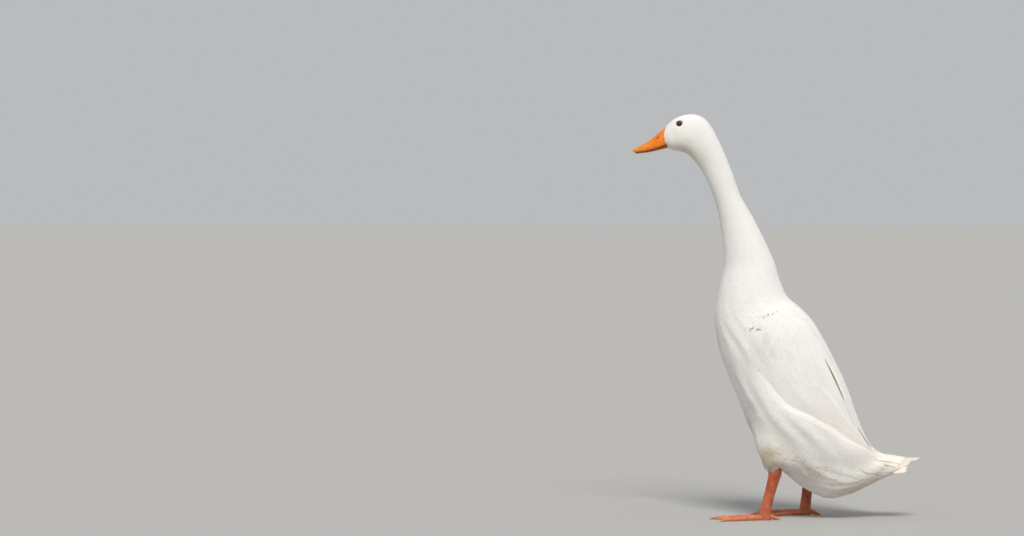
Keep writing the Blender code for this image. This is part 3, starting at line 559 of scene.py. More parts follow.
# %% Mesh helpers
def add_object(name, mesh):
    mesh.shade_smooth()
    obj = bpy.data.objects.new(name, mesh)
    bpy.context.scene.collection.objects.link(obj)
    return obj


def set_values(obj, name, values):
    """Gives a mesh one number at each of its points, for the materials to read."""
    attribute = obj.data.attributes.new(name, "FLOAT", "POINT")
    attribute.data.foreach_set("value", np.asarray(values, np.float32).ravel())


def make_object(name, points, triangles, attributes=None, maps=None):
    """A smooth-shaded mesh object from points in the tables' frame, in metres, and triangles."""
    points = np.asarray(points, float).reshape(-1, 3) + SHIFT
    triangles = np.asarray(triangles, np.int32).reshape(-1, 3)
    mesh = bpy.data.meshes.new(name)
    mesh.vertices.add(len(points))
    mesh.vertices.foreach_set("co", points.astype(np.float32).ravel())
    mesh.loops.add(triangles.size)
    mesh.loops.foreach_set("vertex_index", triangles.ravel())
    mesh.polygons.add(len(triangles))
    mesh.polygons.foreach_set("loop_start", np.arange(0, triangles.size, 3, dtype=np.int32))
    mesh.update(calc_edges=True)
    for map_name, places in (maps or {}).items():
        layer = mesh.uv_layers.new(name=map_name)
        corners = np.asarray(places, np.float32).reshape(-1, 2)[triangles.ravel()]
        layer.uv.foreach_set("vector", corners.ravel())
    obj = add_object(name, mesh)
    for attribute_name, values in (attributes or {}).items():
        set_values(obj, attribute_name, values)
    return obj


def grid_faces(rows, columns, closed=False):
    """Triangles of a grid whose first axis runs along and whose second runs round, facing out on a surface
    whose normal is around crossed with along."""
    last = columns if closed else columns - 1
    i, j = np.meshgrid(np.arange(rows - 1), np.arange(last), indexing="ij")
    k = (j + 1) % columns
    a, b, c, d = i * columns + j, i * columns + k, (i + 1) * columns + k, (i + 1) * columns + j
    return np.concatenate([np.stack([a, b, c], -1).reshape(-1, 3), np.stack([a, c, d], -1).reshape(-1, 3)])


def tube(rings):
    """Points and triangles of a closed tube through rings, with a fan on each end."""
    rings = np.asarray(rings)
    count, around = rings.shape[:2]
    points = np.concatenate([rings.reshape(-1, 3), rings[:1].mean(axis=1), rings[-1:].mean(axis=1)])
    j = np.arange(around)
    k = (j + 1) % around
    first, last, base = count * around, count * around + 1, (count - 1) * around
    first_cap = np.stack([np.full(around, first), k, j], -1)
    last_cap = np.stack([np.full(around, last), base + j, base + k], -1)
    return points, np.concatenate([grid_faces(count, around, closed=True), first_cap, last_cap])


def join_parts(parts):
    """Points and triangles of several parts as one."""
    starts = np.cumsum([0] + [len(points) for points, _ in parts])
    faces = [triangles + start for (_, triangles), start in zip(parts, starts)]
    return np.concatenate([points for points, _ in parts]), np.concatenate(faces)


def applied(obj):
    """Replaces an object's mesh by the one its modifiers make of it."""
    graph = bpy.context.evaluated_depsgraph_get()
    shaped = bpy.data.meshes.new_from_object(obj.evaluated_get(graph))
    obj.modifiers.clear()
    obj.data = shaped
    obj.data.shade_smooth()
    return obj


def vertex_points(obj):
    points = np.empty(len(obj.data.vertices) * 3, np.float32)
    obj.data.vertices.foreach_get("co", points)
    return points.reshape(-1, 3).astype(float) - SHIFT


def move_points(obj, points):
    obj.data.vertices.foreach_set("co", points.astype(np.float32).ravel())


def finish_piece(obj, material, slot_name, *replaced):
    """Gives a piece its material, hangs it on the root and hides the imported parts it replaces."""
    obj.data.materials.clear()
    obj.data.materials.append(material)
    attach(obj, "root")
    if replaced:
        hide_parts(*replaced)
    obj.data.calc_loop_triangles()
    print(f"{obj.name}: {len(obj.data.loop_triangles)} triangles")
    return obj


# %% [markdown]
# ## Markings
# This bird is white, but no white bird is one flat white. There is cream on the cheek and throat, a small tan
# rub on the shoulder, and dust low on the belly and under the tail. The soil marks also carry painted shade
# under the head, down the breast's leading edge and on the thighs and the belly before them, and the tan
# marks some painted shade on the wing's lower part and the tail. Each marking is a soft spot in space.
# Feathers read it at their roots and the skin at its points, so both carry the same colours.

# %% Soft spots of colour
SPOTS = (
    # kind, centre (x, side from the middle, z), reach each way, strength
    ("cream", (-128, 17, 505), (16, 14, 9), 0.55),
    ("cream", (-116, 8, 490), (22, 18, 10), 0.85),
    # Soil marks on the chin and under the jaw: painted shade under the head.
    ("soil_and_shade", (-128, 6, 495), (14, 16, 6), 0.45),
    ("soil_and_shade", (-106, 6, 480), (12, 16, 10), 0.22),
    ("cream", (-143, 8, 500), (9, 16, 12), 0.40),
    ("cream", (-84, 0, 425), (10, 14, 36), 0.30),
    ("cream", (120, 0, 60), (60, 50, 34), 0.45),
    ("tan", (-17, 44, 252), (5, 20, 9), 0.38),
    ("tan", (-9, 46, 232), (5, 20, 9), 0.22),
    # Tan on the wing's lower part: its pinkish-beige tone, with painted shade where it tucks under the flank.
    ("tan", (60, 46, 148), (34, 40, 40), 0.26),
    ("tan", (30, 50, 180), (30, 30, 40), 0.20),
    ("tan", (108, 30, 100), (40, 40, 30), 0.20),
    # Tan on the tail: its beige tone, with painted shade.
    ("tan", (172, 0, 72), (30, 40, 24), 0.75),
    # Soil marks down the breast's leading edge: painted shade where it leans away from the light.
    ("soil_and_shade", (-82, 10, 250), (8, 22, 20), 0.28),
    ("soil_and_shade", (-72, 14, 196), (8, 24, 20), 0.20),
    # Soil marks low on the belly and under the tail: dust, with painted shade under the flank and rump.
    ("soil_and_shade", (40, 25, 72), (24, 34, 20), 0.62),
    ("soil_and_shade", (96, 0, 34), (52, 40, 14), 0.95),
    # Soil marks on the thigh and the belly before it: painted shade where they face down, away from the
    # light.
    ("soil_and_shade", (-12, 38, 88), (26, 32, 28), 1.0),
    ("soil_and_shade", (-30, 10, 128), (18, 38, 36), 0.60),
    # Tan under the tail: its warm tone, with painted shade.
    ("tan", (128, 0, 46), (40, 40, 18), 0.80),
)
MARKS = ("cream", "tan", "soil_and_shade", "deep")


def markings(points):
    """Strength of each marking at points in the tables' frame."""
    x, y, z = np.moveaxis(np.asarray(points) / MM, -1, 0)
    found = {kind: np.zeros(x.shape) for kind in MARKS}
    for kind, (cx, cy, cz), (rx, ry, rz), strength in SPOTS:
        away = ((x - cx) / rx) ** 2 + ((np.abs(y) - cy) / ry) ** 2 + ((z - cz) / rz) ** 2
        found[kind] = np.maximum(found[kind], strength * np.exp(-away))
    return found


# %% [markdown]
# ## What feathers look like close up
# A vane is a comb of barbs that slant from a central shaft. Two node groups describe it. The first turns the
# vane's own map, across and along, into fine slanted ridges and a shaft. The second mixes the bird's clean
# colour with its markings. Skin, body feathers, quills and tail all use them, each with its own values.


# %% Node group: barbs and shaft
def make_barb_group():
    group, given, out = start_group(
        "barbs and shaft",
        [("Barbs", "Float", 40.0), ("Slant", "Float", 0.6), ("Shaft Width", "Float", 0.06)],
        [("Height", "Float"), ("Shaft", "Float"), ("Tip", "Float")],
    )
    places = add_node(group, "UVMap", {"uv_map": "Vane"}).outputs[0]
    apart = add_node(group, "SeparateXYZ", None, {0: places}).outputs
    off_shaft = calculate(group, "ABSOLUTE", calculate(group, "SUBTRACT", apart[0], 0.5))
    leaning = multiply(group, off_shaft, given["Slant"])
    waves = multiply(group, calculate(group, "SUBTRACT", apart[1], leaning), given["Barbs"])
    wobble = noise(group, places, 9.0, 2.0)
    barbs = calculate(group, "PINGPONG", calculate(group, "ADD", waves, wobble), 0.5)
    edge = calculate(group, "DIVIDE", off_shaft, given["Shaft Width"])
    shaft = calculate(group, "SUBTRACT", 1.0, calculate(group, "MINIMUM", edge, 1.0))
    height = calculate(group, "ADD", barbs, multiply(group, shaft, 1.6))
    group.links.new(height, out["Height"])
    group.links.new(shaft, out["Shaft"])
    group.links.new(apart[1], out["Tip"])
    return group


barbs_and_shaft = make_barb_group()


# %% Node group: plumage colour
def make_plumage_group():
    group, given, out = start_group(
        "plumage colour",
        [("Clean", "Color", (0.9, 0.89, 0.85, 1)), ("Cream", "Color", (0.84, 0.76, 0.62, 1)),
         # The soil colour stands for dust and for painted shade.
         ("Tan", "Color", (0.72, 0.50, 0.36, 1)), ("Soil_and_shade", "Color", (0.56, 0.44, 0.29, 1)),
         # The deep colour paints the shade in narrow gaps between quills.
         ("Deep", "Color", (0.19, 0.135, 0.09, 1)),
         ("Variation", "Float", 0.06), ("Mottle Size", "Float", 45.0)],
        [("Colour", "Color"), ("Roughness", "Float")],
    )
    marks = {kind: mark_value(group, kind) for kind in MARKS}
    single = mark_value(group, "own_tone")
    mottle = noise(group, object_places(group), given["Mottle Size"], 3.0)
    share = multiply(group, mottle, 1.7)
    colour = given["Clean"]
    for kind in MARKS:
        strength = multiply(group, marks[kind], share)
        colour = mix_colour(group, strength, colour, given[kind.capitalize()])
    tone = multiply(group, calculate(group, "SUBTRACT", single, 0.5), given["Variation"])
    fine = multiply(group, calculate(group, "SUBTRACT", mottle, 0.5), given["Variation"])
    bright = calculate(group, "ADD", 1.0, calculate(group, "ADD", tone, fine))
    grey = add_node(group, "CombineXYZ", None, {0: bright, 1: bright, 2: bright}).outputs[0]
    group.links.new(mix_colour(group, 1.0, colour, grey, "MULTIPLY"), out["Colour"])
    rough = calculate(group, "ADD", 0.62, multiply(group, mottle, 0.2))
    group.links.new(rough, out["Roughness"])
    return group


plumage_colour = make_plumage_group()


# %% Plumage materials
def plumage_material(name, clean, barbs, slant, shaft_width, depth, shaft_shade, sheen, variation=0.06):
    """A feather finish: marked colour, a darker or lighter shaft, and barbs as bump."""
    surface = {"Sheen_Weight": sheen, "Sheen_Roughness": 0.45, "Specular_IOR_Level": 0.3}
    material, tree, shader = new_material(name, **surface)
    let_light_in(shader, 0.12, (1.0, 0.8, 0.6), 0.002)
    vane = use_group(tree, barbs_and_shaft, Barbs=barbs, Slant=slant, Shaft_Width=shaft_width)
    coat = use_group(tree, plumage_colour, Clean=clean, Variation=variation)
    shaft_share = multiply(tree, vane["Shaft"], 0.35)
    colour = mix_colour(tree, shaft_share, coat["Colour"], shaft_shade)
    link_finish(tree, shader, colour, coat["Roughness"], vane["Height"], depth)
    return material


BODY_WHITE, COVERT_WHITE = (0.92, 0.905, 0.86, 1), (0.915, 0.895, 0.848, 1)
WING_WHITE, TAIL_WHITE = (0.915, 0.895, 0.848, 1), (0.88, 0.835, 0.76, 1)
SHAFT_SHADE = (0.76, 0.66, 0.54, 1)
head_plumage = plumage_material("short head feathers", BODY_WHITE, 12, 0.5, 0.1, 0.00005, BODY_WHITE, 0.25)
body_plumage = plumage_material("body feathers", BODY_WHITE, 22, 0.65, 0.06, 0.00008, BODY_WHITE, 0.25)
neck_plumage = plumage_material("neck feathers", BODY_WHITE, 18, 0.6, 0.07, 0.00007, BODY_WHITE, 0.25)
wing_plumage = plumage_material("wing feathers", WING_WHITE, 90, 0.5, 0.035, 0.00014, SHAFT_SHADE, 0.1, 0.04)
covert_plumage = plumage_material("wing coverts", COVERT_WHITE, 26, 0.7, 0.05, 0.00010, COVERT_WHITE, 0.2)
tail_plumage = plumage_material("tail feathers", TAIL_WHITE, 80, 0.5, 0.04, 0.00014, SHAFT_SHADE, 0.1, 0.12)


def make_down_material():
    """The skin between the feathers is hidden in down, so it has the coat's own colours and a downy bump."""
    material, tree, shader = new_material("down under the coat", Sheen_Weight=0.4, Specular_IOR_Level=0.2)
    coat = use_group(tree, plumage_colour, Clean=BODY_WHITE)
    fluff = noise(tree, object_places(tree), 900.0, 4.0)
    link_finish(tree, shader, coat["Colour"], coat["Roughness"], fluff, 0.0006)
    return material


down = make_down_material()
print("plumage materials:", len([m for m in bpy.data.materials if "feathers" in m.name]))

# %% [markdown]
# ## How deep the coat is
# Feathers are shortest round the bill and longest on the rump, and the coat is as deep as they make it. The
# table gives their length, width and depth along the body. The skin lies that depth inside the body's
# outer surface, so the feathers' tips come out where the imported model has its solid.

# %% Coat table and the skin under it
COAT_PLACES = (0.0, 1.5, 4.0, 7.0, 10.0, 13.4, 16.0, 20.0, 24.0, 29.0)
COAT_LENGTH = (1.9, 2.8, 4.0, 5.2, 7.0, 10.0, 13.0, 15.0, 16.0, 15.0)
COAT_WIDTH = (0.9, 1.2, 1.6, 2.1, 2.9, 4.2, 5.0, 5.6, 5.6, 5.2)
COAT_DEPTH = (0.30, 0.40, 0.50, 0.60, 0.75, 0.95, 1.10, 1.25, 1.25, 1.0)
SKIN_ROWS_A_PLACE, SKIN_AROUND = 10, 128


def coat_depth(place):
    return np.interp(place, COAT_PLACES, COAT_DEPTH) * MM


def eye_place(side):
    """Centre of an eyeball and the way it looks out."""
    point, normal, _, _ = frame_on(body, np.array(EYE_AT[0]), np.array(math.radians(EYE_AT[1])))
    out = Vector(normal)
    out.z *= 0.45
    out.normalize()
    centre = Vector(point) - out * EYE_DEPTH * MM
    if side == RIGHT:
        centre.y, out.y = -centre.y, -out.y
    return centre, out


EYE_AT, EYE_RADIUS, EYE_DEPTH = (2.5, 56.0), 5.2, 3.4
SOCKET_ROOM = 0.25


def ball(name, centre, half, rings=24, around=40, turn=None):
    """A closed ellipsoid with half sizes along its own axes."""
    shape = bmesh.new()
    bmesh.ops.create_uvsphere(shape, u_segments=around, v_segments=rings, radius=1.0)
    place = Matrix.Translation(Vector(centre) + Vector(SHIFT)) @ (turn or Matrix.Identity(4))
    bmesh.ops.transform(shape, matrix=place @ Matrix.Diagonal((*half, 1.0)), verts=shape.verts)
    mesh = bpy.data.meshes.new(name)
    shape.to_mesh(mesh)
    shape.free()
    return add_object(name, mesh)


def combine(obj, others, operation):
    """Joins or cuts an object by closed helpers, which are then removed."""
    for other in others:
        modifier = obj.modifiers.new(other.name, "BOOLEAN")
        modifier.object, modifier.operation, modifier.solver = other, operation, "EXACT"
    applied(obj)
    for other in others:
        bpy.data.objects.remove(other)
    return obj


def limb_tube(surface, start, end, rows, around, inset=0.0):
    places = np.linspace(start, end, rows)[:, None]
    angles = full_turn(around)[None, :]
    point, normal, _, _ = frame_on(surface, *np.broadcast_arrays(places, angles))
    return tube(point - normal * inset)


THIGH_INSET, SKIN_TONE = 1.3, 0.4
LEGS = (("left", LEFT, LEFT_THIGH, LEFT_SHANK), ("right", RIGHT, RIGHT_THIGH, RIGHT_SHANK))


def build_skin():
    """The flesh in one piece, from the bill's root to the tail, with thighs grown on and eyes let in."""
    rows = int(FLESH_END * SKIN_ROWS_A_PLACE) + 1
    places = np.linspace(0, FLESH_END - 0.02, rows)[:, None]
    angles = full_turn(SKIN_AROUND)[None, :]
    place, angle = np.broadcast_arrays(places, angles)
    point, normal, _, _ = frame_on(flesh_end, place, angle)
    skin = make_object("skin", *tube(point - normal * coat_depth(place)[..., None]))
    thighs = []
    for name, side, thigh, _ in LEGS:
        core = limb_tube(limb(thigh, side), 0, len(thigh) - 1.25, 40, 48, THIGH_INSET * MM)
        thighs.append(make_object("thigh_core_" + name, *core))
    combine(skin, thighs, "UNION")
    socket_half = ((EYE_RADIUS + SOCKET_ROOM) * MM,) * 3
    sockets = [ball("socket", eye_place(side)[0], socket_half) for side in (LEFT, RIGHT)]
    combine(skin, sockets, "DIFFERENCE")
    marks = markings(vertex_points(skin))
    marks["own_tone"] = np.full(len(skin.data.vertices), SKIN_TONE)
    for kind, strength in marks.items():
        set_values(skin, kind, strength)
    flesh = ("head", "neck_upper", "neck_lower", "torso", "thigh_left", "thigh_right")
    return finish_piece(skin, down, "plumage", *flesh)


skin = build_skin()

# %% [markdown]
# ## One feather, as a closed vane
# Each feather is a thin closed form: a small grid of points on top, and one line of points below that closes
# it. Rows run from the root to the tip and columns across. The last row is rounded and frayed by a random
# amount, so that tips break up as real barbs do. The form is made once and every feather reuses it.


# %% Vane form
SIDE_TUCK = 0.55


def vane_form(rows, columns, root, tip, widest=0.55, round_tip=0.12, fray=0.06, thickness=0.22, cup=0.10,
              ridge=0.0, tuck=0.1):
    """Shares along and across each point of a vane, its level above or below, and its triangles."""
    along = np.linspace(0, 1, rows) ** 0.9
    across = np.linspace(-1, 1, columns)
    rising = root + (1 - root) * np.sin(np.pi / 2 * np.minimum(along / widest, 1))
    past_widest = np.maximum(along - widest, 0) / (1 - widest)
    falling = tip + (1 - tip) * np.sqrt(np.clip(1 - past_widest**2, 0, 1))
    outline = np.where(along < widest, rising, falling)
    t, x = np.meshgrid(along, across, indexing="ij")
    level = np.ones((rows, columns))
    level[0], level[-1], level[:, 0], level[:, -1] = 0, 0, 0, 0
    middle = np.abs(x) < 1e-6
    sinking = np.maximum(t == 1, SIDE_TUCK * (np.abs(x) == 1) * np.clip(t * 2.5, 0, 1)).astype(float)
    below = rows * columns + np.arange(rows - 1)
    faces = [grid_faces(rows, columns)[:, ::-1]]
    for r in range(rows - 1):
        left, right = r * columns, r * columns + columns - 1
        if r < rows - 2:
            left_side = (below[r], left, left + columns, below[r + 1])
            right_side = (right, below[r], below[r + 1], right + columns)
            faces += [[(a, b, c), (a, c, d)] for a, b, c, d in (left_side, right_side)]
        else:
            end = np.arange(left + columns, left + 2 * columns)
            rim = [left, *end, right]
            faces.append([(below[r], a, b) for a, b in zip(rim, rim[1:])])
    root_row = np.arange(columns)
    faces.append([(below[0], b, a) for a, b in zip(root_row, root_row[1:])])
    faces = np.concatenate([np.asarray(f).reshape(-1, 3) for f in faces])
    return {
        "t": np.concatenate([t.ravel(), along[:-1]]),
        "x": np.concatenate([x.ravel(), np.zeros(rows - 1)]),
        "outline": np.concatenate([np.repeat(outline, columns), outline[:-1]]),
        "level": np.concatenate([(level + ridge * middle).ravel(), -np.ones(rows - 1)]),
        "end": np.concatenate([(t == 1).ravel().astype(float), np.zeros(rows - 1)]),
        "rim": np.concatenate([sinking.ravel(), np.zeros(rows - 1)]),
        "faces": faces,
        "under": (faces >= rows * columns).any(axis=1),
        "round_tip": round_tip, "fray": fray, "thickness": thickness, "cup": cup, "tuck": tuck,
    }


SHORT_VANE = vane_form(4, 3, 0.5, 0.34, thickness=0.08, cup=0.0, round_tip=0.04, fray=0.08, tuck=0.42)
BODY_VANE = vane_form(5, 5, 0.35, 0.34, thickness=0.10, cup=0.0, round_tip=0.10, fray=0.08, tuck=0.40)
TUFT_VANE = vane_form(7, 3, 0.5, 0.2, widest=0.4, thickness=0.2, cup=0.0, round_tip=0.1, fray=0.15, tuck=0.1)
# Tufts curl up, so both their sides are shaded alike.
TUFT_VANE["under"][:] = False
print("triangles a head feather:", len(SHORT_VANE["faces"]), "and a body feather:", len(BODY_VANE["faces"]))

# %% [markdown]
# ## Laying feathers on a surface
# A feather has to follow the body it lies on, or its tip would stand off a curve or sink into it. So its
# points are walked over the surface: each is placed by its share from root to tip and across, then lifted
# by its height there. The rise from root to tip makes each feather cover the roots of the next ones.


# %% Walking vanes over a surface
def solve_step(along, around, step):
    """How far place and angle change for a small step given in space."""
    a, b, c = (along * along).sum(-1), (along * around).sum(-1), (around * around).sum(-1)
    p, q = (step * along).sum(-1), (step * around).sum(-1)
    det = np.maximum(a * c - b * b, 1e-18)
    return (c * p - b * q) / det, (a * q - b * p) / det


def tips_of(surface, place, angle, length, turn):
    """Where feathers end that lie towards the tail, turned away from it by an angle."""
    _, normal, along, around = frame_on(surface, place, angle)
    ahead = unit(along)
    side = np.cross(normal, ahead)
    lie = ahead * np.cos(turn)[:, None] + side * np.sin(turn)[:, None]
    d_place, d_angle = solve_step(along, around, lie * length[:, None])
    return place + d_place, angle + d_angle


def lay_vanes(surface, roots, tips, sizes, form, rng, bend=0.0, curl=0.0, tilt=0.0):
    """Points of many vanes over a surface, each from its root to its tip, both given by place and angle.

    Sizes are the width, the height at the root and the height at the tip, in metres. A tilt, in millimetres,
    raises each vane's lower edge over its neighbour. The surface's normals at the points come too.
    """
    width, low, high = (np.broadcast_to(v, roots[0].shape)[:, None] for v in sizes)
    t, x = form["t"][None, :], form["x"][None, :]
    count, points = len(roots[0]), len(form["t"])
    ragged = form["round_tip"] * x**2 + form["fray"] * rng.random((count, points))
    t = t - form["end"][None, :] * ragged
    d_place, d_angle = (tips[0] - roots[0])[:, None], (tips[1] - roots[1])[:, None]
    place, angle = roots[0][:, None] + d_place * t, roots[1][:, None] + d_angle * t
    _, normal, along, around = frame_on(surface, place, angle)
    run = along * d_place[..., None] + around * d_angle[..., None]
    length = np.linalg.norm(run, axis=-1)
    side = np.cross(normal, unit(run))
    bow = rng.normal(0, 1, (count, 1)) * bend
    sideways = x * form["outline"][None, :] * width / 2 + bow * length * t**2
    more_place, more_angle = solve_step(along, around, side * sideways[..., None])
    point, normal, _, _ = frame_on(surface, place + more_place, angle + more_angle)
    height = low + (high - low) * t + form["level"][None, :] * form["thickness"] * MM / 2
    height = height - tilt * MM * x * np.sin(np.pi * np.clip(t, 0, 1) ** 0.7)
    height = height - form["tuck"] * (high - low) * form["rim"][None, :]
    height = height - form["cup"] * width * (x * form["outline"][None, :]) ** 2 * np.clip(t * 3, 0, 1)
    height = height + curl * length * t**3
    return point + normal * height[..., None], normal


def patch(surface, roots, tips, sizes, form, rng, unwrap, **how):
    """Vanes ready for a piece: their points, faces, maps, tones and the markings at their roots."""
    points, normals = lay_vanes(surface, roots, tips, sizes, form, rng, **how)
    marks = markings(surface(*roots))
    marks["own_tone"] = rng.random(len(points))
    vane = np.stack([form["x"] / 2 + 0.5, form["t"]], -1)
    base = np.stack(unwrap(*roots), -1)[:, None, :]
    return {
        "points": points,
        "normals": normals,
        "faces": form["faces"],
        "under": np.tile(form["under"], len(points)),
        "vane": np.broadcast_to(vane, (len(points), *vane.shape)),
        "bake": base + OWN_PATCH * (vane[None] - 0.5),
        "marks": marks,
    }


OWN_PATCH = 0.003


def soften(piece, normals, share, under):
    """Shades a coat's upper sides mostly like the soft surface below, and its undersides as they slope."""
    mesh = piece.data
    own, flat = (np.empty(len(part) * 3, np.float32) for part in (mesh.vertices, mesh.polygons))
    mesh.vertices.foreach_get("normal", own)
    mesh.polygons.foreach_get("normal", flat)
    blended = unit(own.reshape(-1, 3) * (1 - share) + normals * share)
    corners = np.empty(len(mesh.loops), np.int32)
    mesh.loops.foreach_get("vertex_index", corners)
    sloped = np.repeat(flat.reshape(-1, 3), 3, axis=0)
    wanted = np.where(np.repeat(under, 3)[:, None], sloped, blended[corners])
    mesh.normals_split_custom_set(wanted.tolist())


def coat_piece(name, patches, material, slot_name, replaced=(), mirror=False, softness=0.80):
    """Joins patches of feathers into one piece. Mirrored, it is the same coat on the duck's right side."""
    parts = []
    for found in patches:
        count, each = found["points"].shape[:2]
        faces = found["faces"][None] + (each * np.arange(count))[:, None, None]
        parts.append((found["points"].reshape(-1, 3), faces.reshape(-1, 3)))
    points, faces = join_parts(parts)
    normals = np.concatenate([found["normals"].reshape(-1, 3) for found in patches])
    if mirror:
        points, normals = (values * np.array([1.0, -1.0, 1.0]) for values in (points, normals))
        faces = faces[:, ::-1]
    attributes = {}
    for kind in (*MARKS, "own_tone"):
        values = [np.repeat(found["marks"][kind], found["points"].shape[1]) for found in patches]
        attributes[kind] = np.concatenate(values)
    maps = {}
    for map_name, key in (("OFBake", "bake"), ("Vane", "vane")):
        maps[map_name] = np.concatenate([found[key].reshape(-1, 2) for found in patches])
    piece = make_object(name, points, faces, attributes, maps)
    soften(piece, normals, softness, np.concatenate([found["under"] for found in patches]))
    return finish_piece(piece, material, slot_name, *replaced)


# %% [markdown]
# ## Spreading the roots
# Feathers are set evenly, in staggered rows, and closer where they are smaller. A sequence of points that
# never clump, read through the surface's own area and the wished density, gives just that.


# %% Even roots by area
GOLDEN_STEPS = (0.7548776662466927, 0.5698402909980532)


def scatter(surface, place_span, angle_span, density):
    """Roots spread evenly over part of a surface, with a density in feathers for each square metre."""
    places, angles = np.linspace(*place_span, 241), np.linspace(*angle_span, 193)
    place, angle = np.meshgrid(places, angles, indexing="ij")
    _, _, along, around = frame_on(surface, place, angle)
    weight = np.linalg.norm(np.cross(along, around), axis=-1) * density(place, angle)
    cell = (places[1] - places[0]) * (angles[1] - angles[0])
    count = int(weight.sum() * cell)
    by_place = np.cumsum(weight.sum(axis=1))
    order = np.arange(count)
    first = (0.5 + order * GOLDEN_STEPS[0]) % 1
    second = (0.5 + order * GOLDEN_STEPS[1]) % 1
    where = np.interp(first, by_place / by_place[-1], places)
    row = np.clip(np.searchsorted(places, where), 0, len(places) - 1)
    by_angle = np.cumsum(weight, axis=1)
    by_angle = by_angle / np.maximum(by_angle[:, -1:], 1e-12)
    column = np.clip((by_angle[row] < second[:, None]).sum(axis=1), 1, len(angles) - 1)
    low, high = by_angle[row, column - 1], by_angle[row, column]
    share = np.clip((second - low) / np.maximum(high - low, 1e-9), 0, 1)
    return where, angles[column - 1] + share * (angles[1] - angles[0])


def ripple(place, angle, *waves):
    """A slow random-looking field over the body, for the soft waves in a coat."""
    total = np.zeros(np.shape(place))
    for size, along, around, start in waves:
        total = total + size * np.sin(along * place + around * np.sin(angle + start) + start)
    return total


# %% [markdown]
# ## The body's coat
# The coat is split into pieces by region, from the face down to the rump. Density follows the feathers' own
# size, so every spot is covered by a like number of layers. Under the folded wings and flank feathers, in the
# thighs and round the eyes there are none.

# %% Coat of the head, neck and body
LAYERS = (4.6, 6.0)
FILL = 0.75
EYE_CLEARANCE = 5.15
# Degrees kept clear inside the wing's edges, and depths in mm that roots and tips may reach into a thigh.
COVERED_MARGIN, ROOT_IN_THIGH, TIP_IN_THIGH = 4, 1.0, 3.0
# Places that the folded wings and the long flank feathers cover, and how many degrees the latter reach down.
UNDER_WING, UNDER_FLANK, UNDER_FLANK_DEGREES = (16.2, 22.4), (19.2, 22.9), 26
# name, first and last place of the roots, form, finish and seed
COATS = (
    ("face_feathers", 0.0, 3.6, SHORT_VANE, head_plumage, 11),
    ("head_feathers", 3.6, 6.5, SHORT_VANE, head_plumage, 16),
    ("neck_feathers", 6.5, 10.0, SHORT_VANE, neck_plumage, 12),
    ("lower_neck_feathers", 10.0, 13.0, SHORT_VANE, neck_plumage, 18),
    ("shoulder_feathers", 13.0, 15.6, BODY_VANE, body_plumage, 13),
    ("breast_feathers", 15.6, 18.4, BODY_VANE, body_plumage, 17),
    ("belly_feathers", 18.4, 22.5, BODY_VANE, body_plumage, 14),
    ("rump_feathers", 22.5, 25.8, BODY_VANE, body_plumage, 15),
)


def coat_size(place):
    return (np.interp(place, COAT_PLACES, values) * MM for values in (COAT_LENGTH, COAT_WIDTH))


def coat_density(place, angle):
    length, width = coat_size(place)
    return np.interp(place, (5.0, 9.5), LAYERS) / (length * width * FILL)


def covered(place, angle, margin):
    """True for roots that a folded wing or the long flank feathers cover, by a margin in degrees."""
    above, below = past_edges(place, angle)
    under_wing = (place > UNDER_WING[0]) & (place < UNDER_WING[1])
    under_flank = (place > UNDER_FLANK[0]) & (place < UNDER_FLANK[1])
    by_wing = (above < -margin) & (below < -margin) & under_wing
    by_flank = (below > -margin) & (below < UNDER_FLANK_DEGREES - margin) & under_flank
    return by_wing | by_flank


def near_eye(points, reach):
    """True for points that lie in front of an eye or its lids."""
    found = np.zeros(len(points), bool)
    for side in (LEFT, RIGHT):
        centre, out = eye_place(side)
        away = points - np.array(centre)
        ahead = away @ np.array(out)
        across = np.linalg.norm(away - ahead[:, None] * np.array(out), axis=1)
        found |= (across < reach * MM) & (ahead > 0)
    return found


def tree_of(surface, places, around):
    """A search tree over a surface, whose faces look outwards."""
    grid = np.meshgrid(np.linspace(*places), full_turn(around), indexing="ij")
    points, faces = tube(surface(*grid))
    return BVHTree.FromPolygons((points + SHIFT).tolist(), faces.tolist())


def depth_inside(tree, points):
    """How deep points lie inside a closed mesh, negative outside it."""
    depths = []
    for point in points:
        near, normal, _, _ = tree.find_nearest(Vector(point + SHIFT))
        depths.append((near - Vector(point + SHIFT)).dot(normal))
    return np.array(depths)


def inside_thigh(points, depth):
    found = np.zeros(len(points), bool)
    for tree, centre, reach in thigh_trees:
        near_by = np.flatnonzero(np.linalg.norm(points - centre, axis=1) < reach)
        found[near_by] |= depth_inside(tree, points[near_by]) > depth * MM
    return found


def thigh_tree(side, table):
    surface = limb(table, side)
    centre = surface(np.array(1.5), np.array([0.0, np.pi])).mean(axis=0)
    return tree_of(surface, (0, len(table) - 1, 60), 48), centre, 55 * MM


body_tree = tree_of(dressed, (0, LAST_PLACE, 240), 128)
thigh_trees = [thigh_tree(side, thigh) for _, side, thigh, _ in LEGS]


def body_unwrap(start, end):
    """Places on the skin's unwrap: round it from left to right, and along it upwards."""
    def unwrap(place, angle):
        up = np.clip((place - start) / (end - start), 0, 1)
        return 0.02 + 0.96 * (angle / (2 * np.pi) % 1), 0.02 + 0.96 * up
    return unwrap


